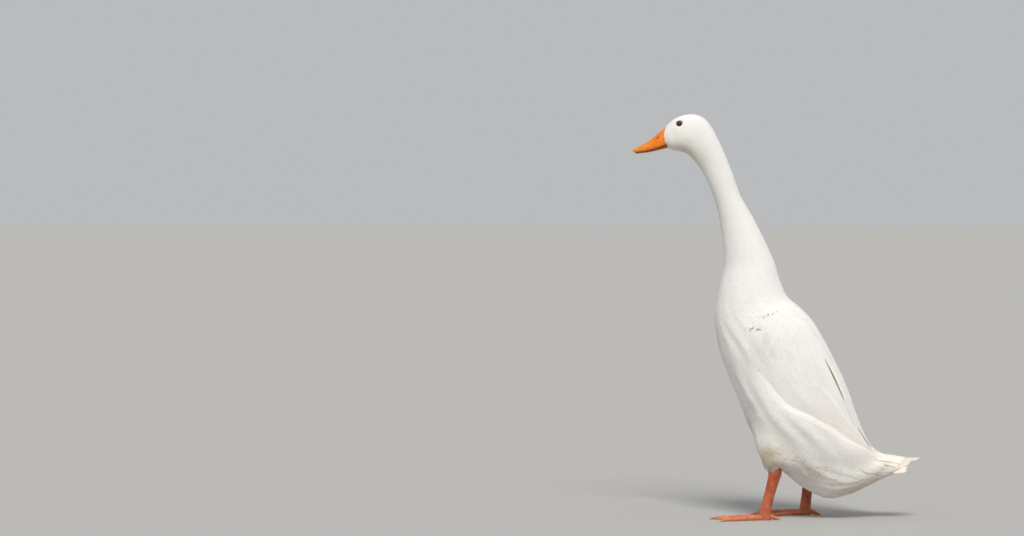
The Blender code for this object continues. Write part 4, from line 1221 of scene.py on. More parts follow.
def body_coat(name, start, end, form, material, seed):
    rng = np.random.default_rng(seed)
    place, angle = scatter(dressed, (start, end), (0, 2 * np.pi), coat_density)
    place = np.clip(place + rng.normal(0, 0.012, len(place)), 0.0, LAST_PLACE - 0.1)
    angle = angle + rng.normal(0, 0.012, len(place))
    length, width = coat_size(place)
    size = rng.normal(1, 0.10, len(place))
    waves = ripple(place, angle, (0.10, 2.1, 2.0, 0.4), (0.07, 4.3, 3.0, 1.9))
    turn = waves + rng.normal(0, 0.08, len(place))
    tips = tips_of(dressed, place, angle, length * size, turn)
    keep = ~covered(place, angle, COVERED_MARGIN)
    for share in (0.0, 0.5, 1.0):
        on_way = dressed(place + (tips[0] - place) * share, angle + (tips[1] - angle) * share)
        keep &= ~near_eye(on_way, EYE_CLEARANCE)
    keep &= ~inside_thigh(dressed(place, angle), ROOT_IN_THIGH)
    keep &= ~inside_thigh(dressed(*tips), TIP_IN_THIGH)
    place, angle, width, size = place[keep], angle[keep], width[keep], size[keep]
    tips = (np.minimum(tips[0][keep], LAST_PLACE + 0.15), tips[1][keep])
    depth = coat_depth(place)
    lift = ripple(place, angle, (0.05, 3.1, 2.4, 2.2), (0.04, 5.2, 4.0, 0.7))
    high = depth * (0.12 + lift + rng.normal(0, 0.04, len(place)))
    sizes = (width * size, -depth * 0.95, high)
    vanes = patch(dressed, (place, angle), tips, sizes, form, rng, body_unwrap(start, end), bend=0.05)
    return coat_piece(name, [vanes], material, "plumage")


for coat in COATS:
    body_coat(*coat)

# %% [markdown]
# ## Thighs
# A duck's thigh is buried in the body's plumage and shows as a soft bulge. Its feathers hang down in front of
# the shank like a short skirt. Roots that lie deep inside the body are left out.

# %% Thigh coats
THIGH_BLEND, DEEPEST_THIGH_ROOT = 16.0, 5.0


def blend_into_body(points, normals, reach):
    """Turns normals near the body towards its own, so that one form is shaded into the other."""
    for i, j in np.ndindex(points.shape[:2]):
        near, outward, _, _ = body_tree.find_nearest(Vector(points[i, j] + SHIFT))
        away = (Vector(points[i, j] + SHIFT) - near).dot(outward)
        share = 1 - smooth(away, 0.1 * reach, reach)
        normals[i, j] = unit(normals[i, j] * (1 - share) + np.array(outward) * share)


def thigh_coat(name, side, table, seed):
    rng = np.random.default_rng(seed)
    surface = limb(table, side)
    last = len(table) - 1.0

    def density(place, angle):
        return (0.10 + 0.30 * (place / last) ** 3) / MM**2

    place, angle = scatter(surface, (0.4, last - 0.2), (0, 2 * np.pi), density)
    keep = depth_inside(body_tree, surface(place, angle)) < DEEPEST_THIGH_ROOT * MM
    place, angle = place[keep], angle[keep]
    share = place / last
    length = (13.0 - 6.0 * share**2) * MM * rng.normal(1, 0.16, len(place))
    width = (5.4 - 3.2 * share**2) * MM * rng.normal(1, 0.12, len(place))
    turn = rng.normal(0, 0.16, len(place))
    tips = tips_of(surface, place, angle, length, turn)
    high = 0.12 * MM * rng.normal(1, 0.6, len(place))
    def unwrap(p, a):
        return 0.02 + 0.96 * (a / (2 * np.pi) % 1), 0.02 + 0.96 * p / last
    sizes = (width, -1.1 * MM, high)
    vanes = patch(surface, (place, angle), tips, sizes, BODY_VANE, rng, unwrap, bend=0.10)
    blend_into_body(vanes["points"], vanes["normals"], THIGH_BLEND * MM)
    return coat_piece("thigh_feathers_" + name, [vanes], body_plumage, "plumage")


for leg_name, side, thigh, _ in LEGS:
    thigh_coat(leg_name, side, thigh, 21 if side == LEFT else 22)

# %% [markdown]
# ## The folded wings
# From the side, a folded wing shows its feathers in tiers: the long primaries lowest and furthest back, then
# the secondaries, the coverts in rows that get shorter towards the shoulder and the tertials along the upper
# edge. Each tier runs evenly from its first feather to its last. The right wing mirrors the left one.

# %% Wing tiers
WING_VANE = vane_form(12, 7, 0.4, 0.30, 0.5, round_tip=0.05, fray=0.01, thickness=0.2, cup=0.0,
                      ridge=0.7, tuck=0.35)
COVERT_VANE = vane_form(8, 7, 0.4, 0.45, 0.5, round_tip=0.10, fray=0.04, thickness=0.16, cup=0.0,
                        ridge=0.3, tuck=0.45)
SLIT_VANE = vane_form(12, 5, 0.05, 0.05, 0.45, round_tip=0.0, fray=0.0, thickness=0.3, cup=0.0, tuck=0.0)
# name, count, first root, last root, first tip, last tip (along, across), width mm, tip height mm, form
TIERS = (
    ("primary", 9, (0.60, 0.24), (0.44, 0.99), (1.04, 0.30), (0.94, 0.99), 12.0, 0.00, WING_VANE),
    ("secondary", 13, (0.42, 0.28), (0.26, 0.99), (0.90, 0.34), (0.60, 0.99), 14.0, 0.12, WING_VANE),
    ("greater covert", 15, (0.30, 0.24), (0.16, 0.99), (0.57, 0.31), (0.38, 0.99), 12.0, 0.22, COVERT_VANE),
    ("median covert", 15, (0.22, 0.24), (0.10, 0.99), (0.43, 0.31), (0.28, 0.99), 11.0, 0.32, COVERT_VANE),
    ("tertial", 6, (0.36, 0.04), (0.32, 0.34), (1.00, 0.06), (0.76, 0.40), 14.0, 0.34, WING_VANE),
)
# Dark vanes that paint the shade where the tertials part: their ends (place, degrees from the back), width
# and height in mm.
SLITS = (
    ((18.6, 40.2), (20.3, 38.4), 2.5, 0.75),
    ((20.2, 38.5), (21.5, 36.4), 0.9, 0.70),
    ((21.45, 32.2), (22.85, 23.2), 2.4, 0.90),
)


def wing_unwrap(along, across):
    return 0.05 + 0.80 * across, 0.05 + 0.85 * along


def wing_patches(seed):
    """Every tier of a folded left wing, then the dark vanes that paint the shade in its slits."""
    rng = np.random.default_rng(seed)
    patches = []
    for _, count, first_root, last_root, first_tip, last_tip, width, height, form in TIERS:
        share = np.linspace(0, 1, count)
        jitter = rng.normal(0, 0.006, (4, count))
        spans = zip((*first_root, *first_tip), (*last_root, *last_tip))
        ends = [np.interp(share, (0, 1), span) for span in spans]
        roots = (ends[0] + jitter[0], ends[1] + jitter[1])
        tips = (ends[2] + jitter[2], ends[3] + jitter[3])
        sizes = (width * MM * rng.normal(1, 0.04, count), (height - 0.45) * MM, height * MM)
        patches.append(patch(wing, roots, tips, sizes, form, rng, wing_unwrap, tilt=0.12))
    return patches + [slit_patch(rng)]


def slit_patch(rng):
    """Narrow dark vanes that paint the shade in the slits between the tertials and the back."""
    starts, ends, width, height = (np.array(column, float) for column in zip(*SLITS))
    roots, tips = (starts[:, 0], np.radians(starts[:, 1])), (ends[:, 0], np.radians(ends[:, 1]))
    sizes = (width * MM, height * MM, height * MM)
    slit = patch(dressed, roots, tips, sizes, SLIT_VANE, rng, lambda p, a: (0.9 + 0 * p, 0.9 + 0 * a))
    # The deep mark makes these vanes dark brown: painted shade.
    slit["marks"]["deep"] = np.array([1.0, 0.35, 0.75])
    return slit


def small_covert_patches(seed):
    """Small rounded feathers that carry the breast's coat on to the front and upper edge of the wing."""
    rng = np.random.default_rng(seed)

    def density(along, across):
        length, width = 12.0 + 22 * along, 5.0 + 4.5 * along
        reach = 0.36 + 0.26 * np.clip(1 - across / 0.34, 0, 1)
        return 5.6 / (length * width * FILL * MM**2) * (along < reach)

    along, across = scatter(wing, (0.04, 0.60), (-0.03, 1.03), density)
    length = (12.0 + 22 * along) * MM * rng.normal(1, 0.1, len(along))
    width = (5.0 + 4.5 * along) * MM * rng.normal(1, 0.1, len(along))
    tips = tips_of(wing, along, across, length, rng.normal(0, 0.08, len(along)))
    high = 0.55 * MM * rng.normal(1, 0.08, len(along))
    sizes = (width, -0.5 * MM, high)
    return [patch(wing, (along, across), tips, sizes, BODY_VANE, rng, wing_unwrap, bend=0.05)]


def build_wing(name, mirror, seed):
    quills, coverts = wing_patches(seed), small_covert_patches(seed + 2)
    coat_piece("wing_feathers_" + name, quills, wing_plumage, "wing_plumage", ("wing_" + name,), mirror)
    coat_piece("wing_coverts_" + name, coverts, covert_plumage, "wing_plumage", (), mirror)


build_wing("left", False, 31)
build_wing("right", True, 32)

# %% [markdown]
# ## Flank feathers over the wing
# The folded wing is tucked into the flank: long soft feathers rise from below over its lower edge. They turn
# up towards the back as they run, and hide where the wing meets the body.

# %% Flank feathers
# How many, and where their roots start and how far they spread: place, and degrees below the wing's edge.
FLANK_COUNT, FLANK_FROM, FLANK_SPAN = 1900, (17.2, -9.5), (6.0, 50)


def flank_patch(seed):
    rng = np.random.default_rng(seed)
    count = FLANK_COUNT
    order = np.arange(count)
    place = FLANK_FROM[0] + FLANK_SPAN[0] * ((0.5 + order * GOLDEN_STEPS[0]) % 1)
    below = np.radians(FLANK_FROM[1] + FLANK_SPAN[1] * ((0.5 + order * GOLDEN_STEPS[1]) % 1))
    length = rng.normal(16, 1.6, count) * MM
    tips = tips_of(flank, place, below, length, rng.normal(0, 0.06, count))
    high = rng.normal(0.34, 0.05, count) * MM
    sizes = (rng.normal(5.0, 0.4, count) * MM, -0.9 * MM, high)
    return patch(flank, (place, below), tips, sizes, BODY_VANE, rng, body_unwrap(15, 24), bend=0.05)


coat_piece("flank_feathers_left", [flank_patch(41)], body_plumage, "plumage")
coat_piece("flank_feathers_right", [flank_patch(42)], body_plumage, "plumage", mirror=True)

# %% [markdown]
# ## Loose down on thigh and belly
# Behind the thigh and low on the belly the coat is ruffled, and narrow curled tufts of down stand out of it.
# They are placed by chance, most where the photograph shows the curls.

# %% Curled tufts
# Centres (x, z), reach each way in mm, and how thick they stand there.
TUFT_SPOTS = (((21, 84), (13, 7), 700), ((46, 70), (16, 8), 260), ((78, 54), (26, 10), 120))
TUFT_ROOTS, TUFTS_FOR_CERTAIN = 9000, 3000


def tuft_patch(seed):
    rng = np.random.default_rng(seed)
    place, angle = rng.uniform(19.5, 25.0, TUFT_ROOTS), np.radians(rng.uniform(85, 168, TUFT_ROOTS))
    x, _, z = np.moveaxis(dressed(place, angle) / MM, -1, 0)
    chance = np.zeros(len(place))
    for (cx, cz), (rx, rz), tried in TUFT_SPOTS:
        fade = np.exp(-(((x - cx) / rx) ** 2) - ((z - cz) / rz) ** 2)
        chance = np.maximum(chance, tried / TUFTS_FOR_CERTAIN * fade)
    keep = (rng.random(len(place)) < chance) & ~inside_thigh(dressed(place, angle), ROOT_IN_THIGH)
    place, angle = place[keep], angle[keep]
    count = len(place)
    length = rng.normal(9, 2.0, count).clip(5, 14) * MM
    tips = tips_of(dressed, place, angle, length, rng.normal(0.0, 0.40, count))
    width = rng.normal(2.0, 0.4, count).clip(1, 3) * MM
    high = rng.normal(0.9, 0.3, count).clip(0.3, 2) * MM
    sizes, unwrap = (width, -0.6 * MM, high), body_unwrap(19, 26)
    return patch(dressed, (place, angle), tips, sizes, TUFT_VANE, rng, unwrap, bend=0.30, curl=0.04)


coat_piece("loose_down_left", [tuft_patch(61)], body_plumage, "plumage", softness=0.5)
coat_piece("loose_down_right", [tuft_patch(62)], body_plumage, "plumage", mirror=True, softness=0.5)

# %% [markdown]
# ## The tail
# Seven pairs of stiff feathers form a short fan, the middle pair on top. Coverts close over their roots from
# above, and the long soft undertail coverts reach nearly to the tips from below.

# %% Tail fan and coverts
TAIL_VANE = vane_form(12, 9, 0.35, 0.25, 0.62, round_tip=0.06, fray=0.02, thickness=0.4, cup=0.04, ridge=0.8)
COVERT_COUNT, INNER_COVERT_COUNT = 800, 320
# How far each pair reaches, the middle pair first: the tips are worn to a ragged edge.
TAIL_REACH = (1.0, 0.98, 0.76, 0.76, 0.88, 0.96, 0.98)


def tail_patches(seed):
    rng = np.random.default_rng(seed)
    numbers = np.concatenate([[-n - 0.5, n + 0.5] for n in range(TAIL_PAIRS)])
    out = np.abs(numbers)
    roots = (np.full(len(numbers), -0.30), numbers * 0.96)
    reach = np.array(TAIL_REACH)[(out - 0.5).astype(int)]
    tips = (reach + rng.normal(0, 0.02, len(numbers)), numbers + rng.normal(0, 0.05, len(numbers)))
    height = (0.9 - 0.40 * out) * MM
    width = (10.5 - 0.60 * out) * MM * rng.normal(1, 0.04, len(numbers))
    sizes = (width, height - 0.6 * MM, height)
    def unwrap(share, number):
        return 0.05 + 0.9 * (number + 8) / 16, 0.05 + 0.5 * np.clip(share, 0, 1)
    return [patch(tail_fan, roots, tips, sizes, TAIL_VANE, rng, unwrap)]


def tail_covert_patches(seed):
    """Coverts round the tail's root, longer below, and the soft ones that close the fan inside."""
    rng = np.random.default_rng(seed)
    count = COVERT_COUNT
    place = rng.uniform(24.6, 27.4, count)
    angle = rng.uniform(0, 2 * np.pi, count)
    under = (1 - np.cos(angle)) / 2
    length = (12 + 7 * under) * MM * rng.normal(1, 0.12, count)
    length = length * np.clip((28.6 - place) / 3.0, 0.45, 1)
    tips = tips_of(dressed, place, angle, length, rng.normal(0, 0.08, count))
    sizes = (rng.normal(5.6, 0.6, count) * MM, -1.2 * MM, rng.normal(0.4, 0.10, count) * MM)
    unwrap = body_unwrap(24, 29)
    coverts = patch(dressed, (place, angle), tips, sizes, COVERT_VANE, rng, unwrap, bend=0.06)
    return [coverts, inner_covert_patch(rng, unwrap)]


def inner_covert_patch(rng, unwrap):
    """Soft coverts that close the fan from inside, round the end of the flesh."""
    count = INNER_COVERT_COUNT
    place, angle = rng.uniform(26.6, 28.3, count), rng.uniform(0, 2 * np.pi, count)
    tips = tips_of(flesh_end, place, angle, rng.normal(7, 1, count) * MM, rng.normal(0, 0.15, count))
    tips = (np.minimum(tips[0], FLESH_END - 0.03), tips[1])
    sizes = (rng.normal(4.5, 0.4, count) * MM, -0.8 * MM, rng.normal(0.5, 0.2, count) * MM)
    return patch(flesh_end, (place, angle), tips, sizes, COVERT_VANE, rng, unwrap, bend=0.06)


# Long stiff coverts round the tail's root, in two rows: places of the roots and tips, degrees from the back
# of the first tips, share of that turn at the roots, and width and heights at the root and the tip in mm.
QUILL_ROWS = (
    (25.0, 28.6, -120, 0.70, 9.0, -0.9, 0.5),
    (24.0, 27.5, -130, 0.58, 9.0, -0.6, 1.0),
)
QUILL_STEP = 20
# Brown shade in the partings between them: root and tip (place, degrees from the back) on each side.
STREAKS = (
    ((23.5, 69.5), (25.5, 86.0)), ((25.2, 82.0), (26.8, 118.0)), ((23.7, 40.5), (25.5, 45.5)),
    ((25.2, 43.0), (27.4, 66.0)), ((24.9, 50.0), (27.3, 84.0)),
)


def quill_patches(seed):
    """Stiff, streaked coverts that run from the rump on to the fan, on both sides."""
    rng = np.random.default_rng(seed)
    patches, unwrap = [], body_unwrap(23, 29)
    for root_place, tip_place, first, share, width, low, high in QUILL_ROWS:
        turned = np.arange(first, -first + 1, QUILL_STEP) + 0.0
        count = len(turned)
        turned = turned + rng.normal(0, 2.5, count)
        roots = (np.full(count, root_place), np.radians(turned * share))
        tips = (tip_place + rng.normal(0, 0.15, count), np.radians(turned))
        sizes = (width * MM * rng.normal(1, 0.06, count), low * MM, high * MM)
        patches.append(patch(dressed, roots, tips, sizes, TAIL_VANE, rng, unwrap, bend=0.02))
    # The streaks are narrow dark vanes: painted shade in the partings, with the brown of the feathers' edges.
    ends = np.array([[*root, *tip] for root, tip in STREAKS])
    ends = np.concatenate([ends, ends * np.array([1, -1, 1, -1])])
    roots, tips = (ends[:, 0], np.radians(ends[:, 1])), (ends[:, 2], np.radians(ends[:, 3]))
    streaks = patch(dressed, roots, tips, (0.8 * MM, 0.3 * MM, 1.15 * MM), SLIT_VANE, rng, unwrap)
    streaks["marks"]["deep"] = np.full(len(ends), 0.6)
    return [*patches, streaks]


coat_piece("tail_fan", tail_patches(51) + quill_patches(53), tail_plumage, "tail_plumage", ("tail",))
coat_piece("tail_coverts", tail_covert_patches(52), body_plumage, "plumage")

# %% [markdown]
# ## The bill
# A runner's bill is long, straight and wedge-shaped in profile, and spoon-shaped from above, with a hard nail
# at its tip, a nostril high on each side, and a comb of fine ridges inside its cutting edge. Both halves are
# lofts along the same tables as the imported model, with the small forms pressed into their points.

# %% Bill tables and loft
UPPER_BILL = (
    ((-149.6, 525.6), (-147.0, 502.8), 10.6),
    ((-157.2, 518.8), (-156.4, 499.4), 10.1),
    ((-164.4, 512.6), (-164.8, 496.8), 9.9),
    ((-171.1, 507.2), (-172.2, 494.8), 10.3),
    ((-178.0, 503.1), (-179.2, 493.4), 10.9),
    ((-184.6, 499.8), (-185.3, 492.7), 10.9),
    ((-189.4, 497.6), (-189.7, 492.4), 9.2),
    ((-192.2, 496.0), (-192.3, 492.5), 6.0),
    ((-193.6, 494.7), (-193.6, 493.1), 2.2),
)
LOWER_BILL = (
    ((-147.0, 502.3), (-146.5, 497.6), 9.4),
    ((-156.4, 498.9), (-156.8, 495.0), 8.8),
    ((-164.8, 496.3), (-165.0, 493.1), 8.6),
    ((-172.2, 494.3), (-172.3, 491.7), 9.0),
    ((-179.2, 492.9), (-179.2, 490.8), 9.2),
    ((-185.3, 492.2), (-185.3, 490.3), 8.4),
    ((-189.2, 491.9), (-189.2, 490.3), 5.4),
    ((-190.8, 491.9), (-190.8, 490.7), 2.2),
)
NOSTRIL_AT, NOSTRIL_HALF, NOSTRIL_PITCH = (-161.0, 510.6), (2.9, 1.4), math.radians(-36)
BILL_ROWS, BILL_AROUND, BILL_FLAT = 170, 90, 24
BILL_TUCK = 3.0


def bill_half(name, table, over, material, slot_name, replaced):
    """Half of the bill: a dome over, or a trough under, its cutting edge, tucked in behind the feathers."""
    rows = np.array([[*ridge, *edge, half] for ridge, edge, half in table])
    fine = spline(rows, np.linspace(0, len(rows) - 1, BILL_ROWS))
    back = fine[:1] + np.array([[BILL_TUCK, 0, BILL_TUCK, 0, -0.6]])
    fine = np.concatenate([back, fine])
    if not over:
        fine = fine[:, [2, 3, 0, 1, 4]]
    arc = np.linspace(0, np.pi, BILL_AROUND)
    ridge, edge, half = fine[:, None, 0:2], fine[:, None, 2:4], fine[:, None, 4]
    up = np.sin(arc) ** 0.9
    curve = edge + (ridge - edge) * up[None, :, None]
    side = half * np.cos(arc)[None, :]
    flat_side = half * np.linspace(-1, 1, BILL_FLAT + 2)[None, 1:-1]
    flat = np.broadcast_to(edge, (len(fine), BILL_FLAT, 2))
    hollow = (1 if over else -1) * 0.8 * (1 - (flat_side / half) ** 2)
    points = np.concatenate([
        np.stack([curve[..., 0], side, curve[..., 1]], -1),
        np.stack([flat[..., 0], flat_side, flat[..., 1] + hollow], -1),
    ], axis=1)
    outer = np.concatenate([np.ones(BILL_AROUND, bool), np.zeros(BILL_FLAT, bool)])
    points = shape_upper_bill(points, outer) if over else shape_lower_bill(points, outer)
    vertices, faces = tube(points * MM)
    obj = make_object(name, vertices, faces)
    turn_outwards(obj)
    return finish_piece(obj, material, slot_name, replaced)


def turn_outwards(obj):
    shape = bmesh.new()
    shape.from_mesh(obj.data)
    if shape.calc_volume(signed=True) < 0:
        bmesh.ops.reverse_faces(shape, faces=shape.faces)
    shape.to_mesh(obj.data)
    shape.free()
    obj.data.shade_smooth()


def ring_normals(points):
    along = np.gradient(points, axis=0)
    around = np.roll(points, -1, axis=1) - np.roll(points, 1, axis=1)
    normal = unit(np.cross(around, along))
    outward = points - points.mean(axis=1, keepdims=True)
    return normal * np.sign((normal * outward).sum(-1).mean())


def raised(points, height, outer):
    """Lifts the outer points of the bill's rings by a height."""
    return points + ring_normals(points) * (height * outer[None, :])[..., None]


def shape_upper_bill(points, outer):
    """Presses in the nostrils and side grooves, and raises the nail, the ridge and the rolled rim."""
    x, y, z = np.moveaxis(points, -1, 0)
    height = np.zeros(x.shape)
    dx, dz = x - NOSTRIL_AT[0], z - NOSTRIL_AT[1]
    along = dx * math.cos(NOSTRIL_PITCH) - dz * math.sin(NOSTRIL_PITCH)
    across = dx * math.sin(NOSTRIL_PITCH) + dz * math.cos(NOSTRIL_PITCH)
    away = np.sqrt((along / NOSTRIL_HALF[0]) ** 2 + (across / NOSTRIL_HALF[1]) ** 2)
    height -= 2.2 / (1 + np.exp((away - 0.85) * 9))
    height += 0.35 * np.exp(-(((away - 1.35) / 0.30) ** 2))
    nail = np.sqrt(((x + 191.0) / 5.0) ** 2 + (y / 4.2) ** 2)
    height += 0.45 / (1 + np.exp((nail - 1.0) * 12)) * (z > 493.5)
    groove = (x + 156) / 16
    height -= 0.35 * np.exp(-(groove**2) - ((np.abs(y) - 6.6) / 1.8) ** 2)
    middle = np.exp(-((y / 2.4) ** 2)) * np.clip((-150 - x) / 8, 0, 1) * np.clip((x + 186) / 8, 0, 1)
    height += 0.30 * middle
    share = np.arcsin(np.clip(np.abs(y) / np.maximum(np.abs(y).max(axis=1, keepdims=True), 1e-6), 0, 1))
    rim = np.exp(-(((np.pi / 2 - share) / 0.16) ** 2))
    height += 0.30 * rim * np.clip((x + 193) / 6, 0, 1)
    comb = np.sin(x * 2 * np.pi / 1.15) * np.exp(-(((np.pi / 2 - share) / 0.10) ** 2))
    height += 0.06 * comb * np.clip((x + 190) / 6, 0, 1)
    return raised(points, height, outer)


def shape_lower_bill(points, outer):
    """Raises two low side bars with a soft skin between them, and the small nail below the tip."""
    x, y, _ = np.moveaxis(points, -1, 0)
    height = 0.25 * np.exp(-(((np.abs(y) - 5.6) / 1.3) ** 2)) * np.clip((-150 - x) / 8, 0, 1)
    height -= 0.25 * np.exp(-((y / 2.6) ** 2)) * np.clip((x + 184) / 8, 0, 1)
    height += 0.30 * np.exp(-(((x + 188.5) / 2.6) ** 2) - (y / 3.0) ** 2)
    return raised(points, height, outer)


# %% [markdown]
# ## Horn and bare skin
# Bill, claws and scales are all keratin over living skin, so one node group serves them. It gives a mottled
# colour between two tones, fine stains, and a fine pebbled height.


# %% Node group: horny skin
def make_horn_group():
    group, given, out = start_group(
        "horny skin",
        [("Light", "Color", (0.9, 0.45, 0.1, 1)), ("Deep", "Color", (0.7, 0.25, 0.05, 1)),
         ("Stain", "Color", (0.25, 0.1, 0.04, 1)),
         ("Mottle Size", "Float", 90.0), ("Grain Size", "Float", 900.0),
         ("Stain Amount", "Float", 0.3), ("Gloss", "Float", 0.4)],
        [("Colour", "Color"), ("Roughness", "Float"), ("Height", "Float")],
    )
    coords = object_places(group)
    mottle = noise(group, coords, given["Mottle Size"], 4.0)
    grain = noise(group, coords, given["Grain Size"], 2.0)
    cells = add_node(group, "TexVoronoi", {"feature": "DISTANCE_TO_EDGE"},
                     {"Vector": coords, "Scale": given["Grain Size"]}).outputs["Distance"]
    tone = mix_colour(group, ramp(group, mottle, 0.3, 0.7), given["Deep"], given["Light"])
    stained = multiply(group, ramp(group, grain, 0.60, 0.75), given["Stain Amount"])
    group.links.new(mix_colour(group, stained, tone, given["Stain"]), out["Colour"])
    rough = calculate(group, "ADD", given["Gloss"], multiply(group, grain, 0.15))
    group.links.new(rough, out["Roughness"])
    group.links.new(calculate(group, "ADD", multiply(group, cells, 1.5), grain), out["Height"])
    return group


horny_skin = make_horn_group()


def horn_material(name, height, **values):
    """A plain horny finish, for the lids and the claws."""
    material, tree, shader = new_material(name, Coat_Weight=0.1)
    horn = use_group(tree, horny_skin, **values)
    link_finish(tree, shader, horn["Colour"], horn["Roughness"], horn["Height"], height)
    return material


def bill_material(name, light, deep, tip):
    """The bill's orange, paler on the nail, and darker low along the cutting edge, rising towards the base:
    the gape line and painted shade under the upper bill.
    """
    material, tree, shader = new_material(name, Coat_Weight=0.03, Coat_Roughness=0.3, Specular_IOR_Level=0.25)
    let_light_in(shader, 0.15, (1.0, 0.4, 0.1), 0.003)
    horn = use_group(tree, horny_skin, Light=light, Deep=deep, Stain=(0.30, 0.10, 0.03, 1), Mottle_Size=120.0,
                     Grain_Size=700.0, Stain_Amount=0.35, Gloss=0.42)
    x, _, z = add_node(tree, "SeparateXYZ", None, {0: object_places(tree)}).outputs
    colour = mix_colour(tree, ramp(tree, x, -0.183, -0.190), horn["Colour"], tip)
    # Painted shade: a darker band low along the cutting edge, rising towards the base.
    rise = multiply(tree, calculate(tree, "ADD", x, 0.194), 0.18)
    low = ramp(tree, calculate(tree, "SUBTRACT", z, rise), 0.4965, 0.4925)
    colour = mix_colour(tree, multiply(tree, low, 0.45), colour, (0.42, 0.085, 0.012, 1))
    link_finish(tree, shader, colour, horn["Roughness"], horn["Height"], 0.00012)
    return material


# light, deep and tip colours
UPPER_ORANGES = ((0.80, 0.255, 0.008, 1), (0.72, 0.155, 0.006, 1), (0.84, 0.33, 0.02, 1))
# The lower bill's oranges are darker than the upper bill's: painted shade for the shadow under the upper
# bill.
SHADED_LOWER_ORANGES = ((0.50, 0.12, 0.010, 1), (0.36, 0.065, 0.007, 1), (0.70, 0.21, 0.03, 1))
upper_orange = bill_material("upper bill orange", *UPPER_ORANGES)
shaded_lower_orange = bill_material("lower bill orange in painted shade", *SHADED_LOWER_ORANGES)
bill_half("upper_bill", UPPER_BILL, True, upper_orange, "bill", "bill_upper")
bill_half("lower_bill", LOWER_BILL, False, shaded_lower_orange, "bill", "bill_lower")

# %% [markdown]
# ## Eyes and lids
# The eye is a glossy ball with a slightly bulging front, dark brown with a black pupil. A rim of bare lid
# holds it, drawn out to a shallow corner in front and behind. The colours follow the angle off its axis.


# %% Eyeballs
def eye_material():
    wet = {"Coat_Weight": 1.0, "Coat_Roughness": 0.02, "Coat_IOR": 1.38, "Roughness": 0.12}
    material, tree, shader = new_material("wet eye", **wet)
    off = mark_value(tree, "off_axis")
    fibres = noise(tree, object_places(tree), 2400.0, 3.0)
    iris = mix_colour(tree, fibres, (0.016, 0.007, 0.004, 1), (0.055, 0.024, 0.010, 1))
    colour = mix_colour(tree, ramp(tree, off, 0.44, 0.38), iris, (0.002, 0.002, 0.002, 1))
    colour = mix_colour(tree, ramp(tree, off, 0.72, 0.82), colour, (0.012, 0.008, 0.006, 1))
    tree.links.new(colour, shader.inputs["Base Color"])
    return material


LID_RADIUS, LID_THICKNESS = 4.25, 0.50


def build_eye(name, side, material, lid_skin):
    centre, out = eye_place(side)
    turn = out.to_track_quat("Z", "Y").to_matrix().to_4x4()
    eye = ball("eyeball_" + name, centre, (EYE_RADIUS * MM,) * 3, 40, 64, turn)
    local = vertex_points(eye) - np.array(centre)
    off_axis = np.arccos(np.clip(local @ np.array(out) / np.linalg.norm(local, axis=1), -1, 1))
    bulge = 0.10 * np.exp(-((off_axis / 0.55) ** 4))
    move_points(eye, np.array(centre) + SHIFT + local * (1 + bulge[:, None]))
    set_values(eye, "off_axis", off_axis)
    finish_piece(eye, material, "eye", "eye_" + name)
    build_lids(name, centre, turn.to_3x3(), lid_skin)


def build_lids(name, centre, turn, lid_skin):
    """A rolled rim round the eye, drawn out at its corners and crossed by fine folds."""
    around = full_turn(120)
    section = full_turn(20)
    a, s = np.meshgrid(around, section, indexing="ij")
    corner = np.abs(np.cos(a)) ** 8
    radius = LID_RADIUS - 0.25 + 0.20 * np.abs(np.sin(a)) + 0.55 * corner
    thick = LID_THICKNESS * (1.0 + 0.04 * np.sin(29 * a) + 0.05 * np.sin(47 * a + 1) * np.sin(5 * a))
    reach = radius + thick * np.cos(s) * 1.15
    rise = EYE_DEPTH * 0.80 + thick * np.sin(s) * 0.85 - 0.35 * corner
    local = np.stack([reach * np.cos(a), reach * np.sin(a), rise], -1) * MM
    points = np.array(centre) + local @ np.array(turn).T
    count, columns = points.shape[:2]
    faces = grid_faces(count + 1, columns, closed=True) % (count * columns)
    obj = make_object("lids_" + name, points, faces)
    turn_outwards(obj)
    finish_piece(obj, lid_skin, "plumage")


wet_eye = eye_material()
bare_lids = horn_material(
    "bare lids", 0.0001, Light=(0.84, 0.78, 0.66, 1), Deep=(0.66, 0.56, 0.42, 1),
    Mottle_Size=600.0, Grain_Size=2500.0, Stain_Amount=0.2, Gloss=0.45,
)
build_eye("left", LEFT, wet_eye, bare_lids)
build_eye("right", RIGHT, wet_eye, bare_lids)

# %% [markdown]
# ## Legs and webbed feet
# Shank, ankle, toes and web are one stretch of scaled skin. They start as simple closed forms that overlap.
# A voxel remesh melts them into one, a little smoothing rounds the joints, and then the scales are raised in
# the mesh: broad plates down the front of the shank and along the toes, small ones elsewhere.

# %% Foot forms
TOES = (
    ("outer", 23.0, 66.0, (0.0, 0.28, 0.5, 0.7, 0.86), 4.3),
    ("middle", -2.0, 75.0, (0.0, 0.32, 0.6, 0.85), 4.7),
    ("inner", -28.0, 58.0, (0.0, 0.42, 0.83), 4.3),
)
TOE_TIP_SHARE, CLAW_LENGTH, CLAW_RADIUS = 0.5, 8.5, 1.9
HALLUX = ((4.0, 5.6), (10.0, 4.4), (15.5, 2.2), (20.5, 0.8))
HALLUX_RADII = (3.4, 3.0, 2.4, 1.0)
ANKLE_HALF, ANKLE_HEIGHT = (8.2, 6.6), 10.0
WEB_THICKNESS = 1.9
FOOT_VOXEL = 0.0006


def toe_direction(bearing, side):
    """Unit vectors ahead along a toe and to its left, for a duck that faces -X."""
    swing = math.radians(180) - side * math.radians(bearing)
    forward, sideways = math.cos(swing), math.sin(swing)
    return np.array([forward, sideways, 0.0]), np.array([-sideways, forward, 0.0])


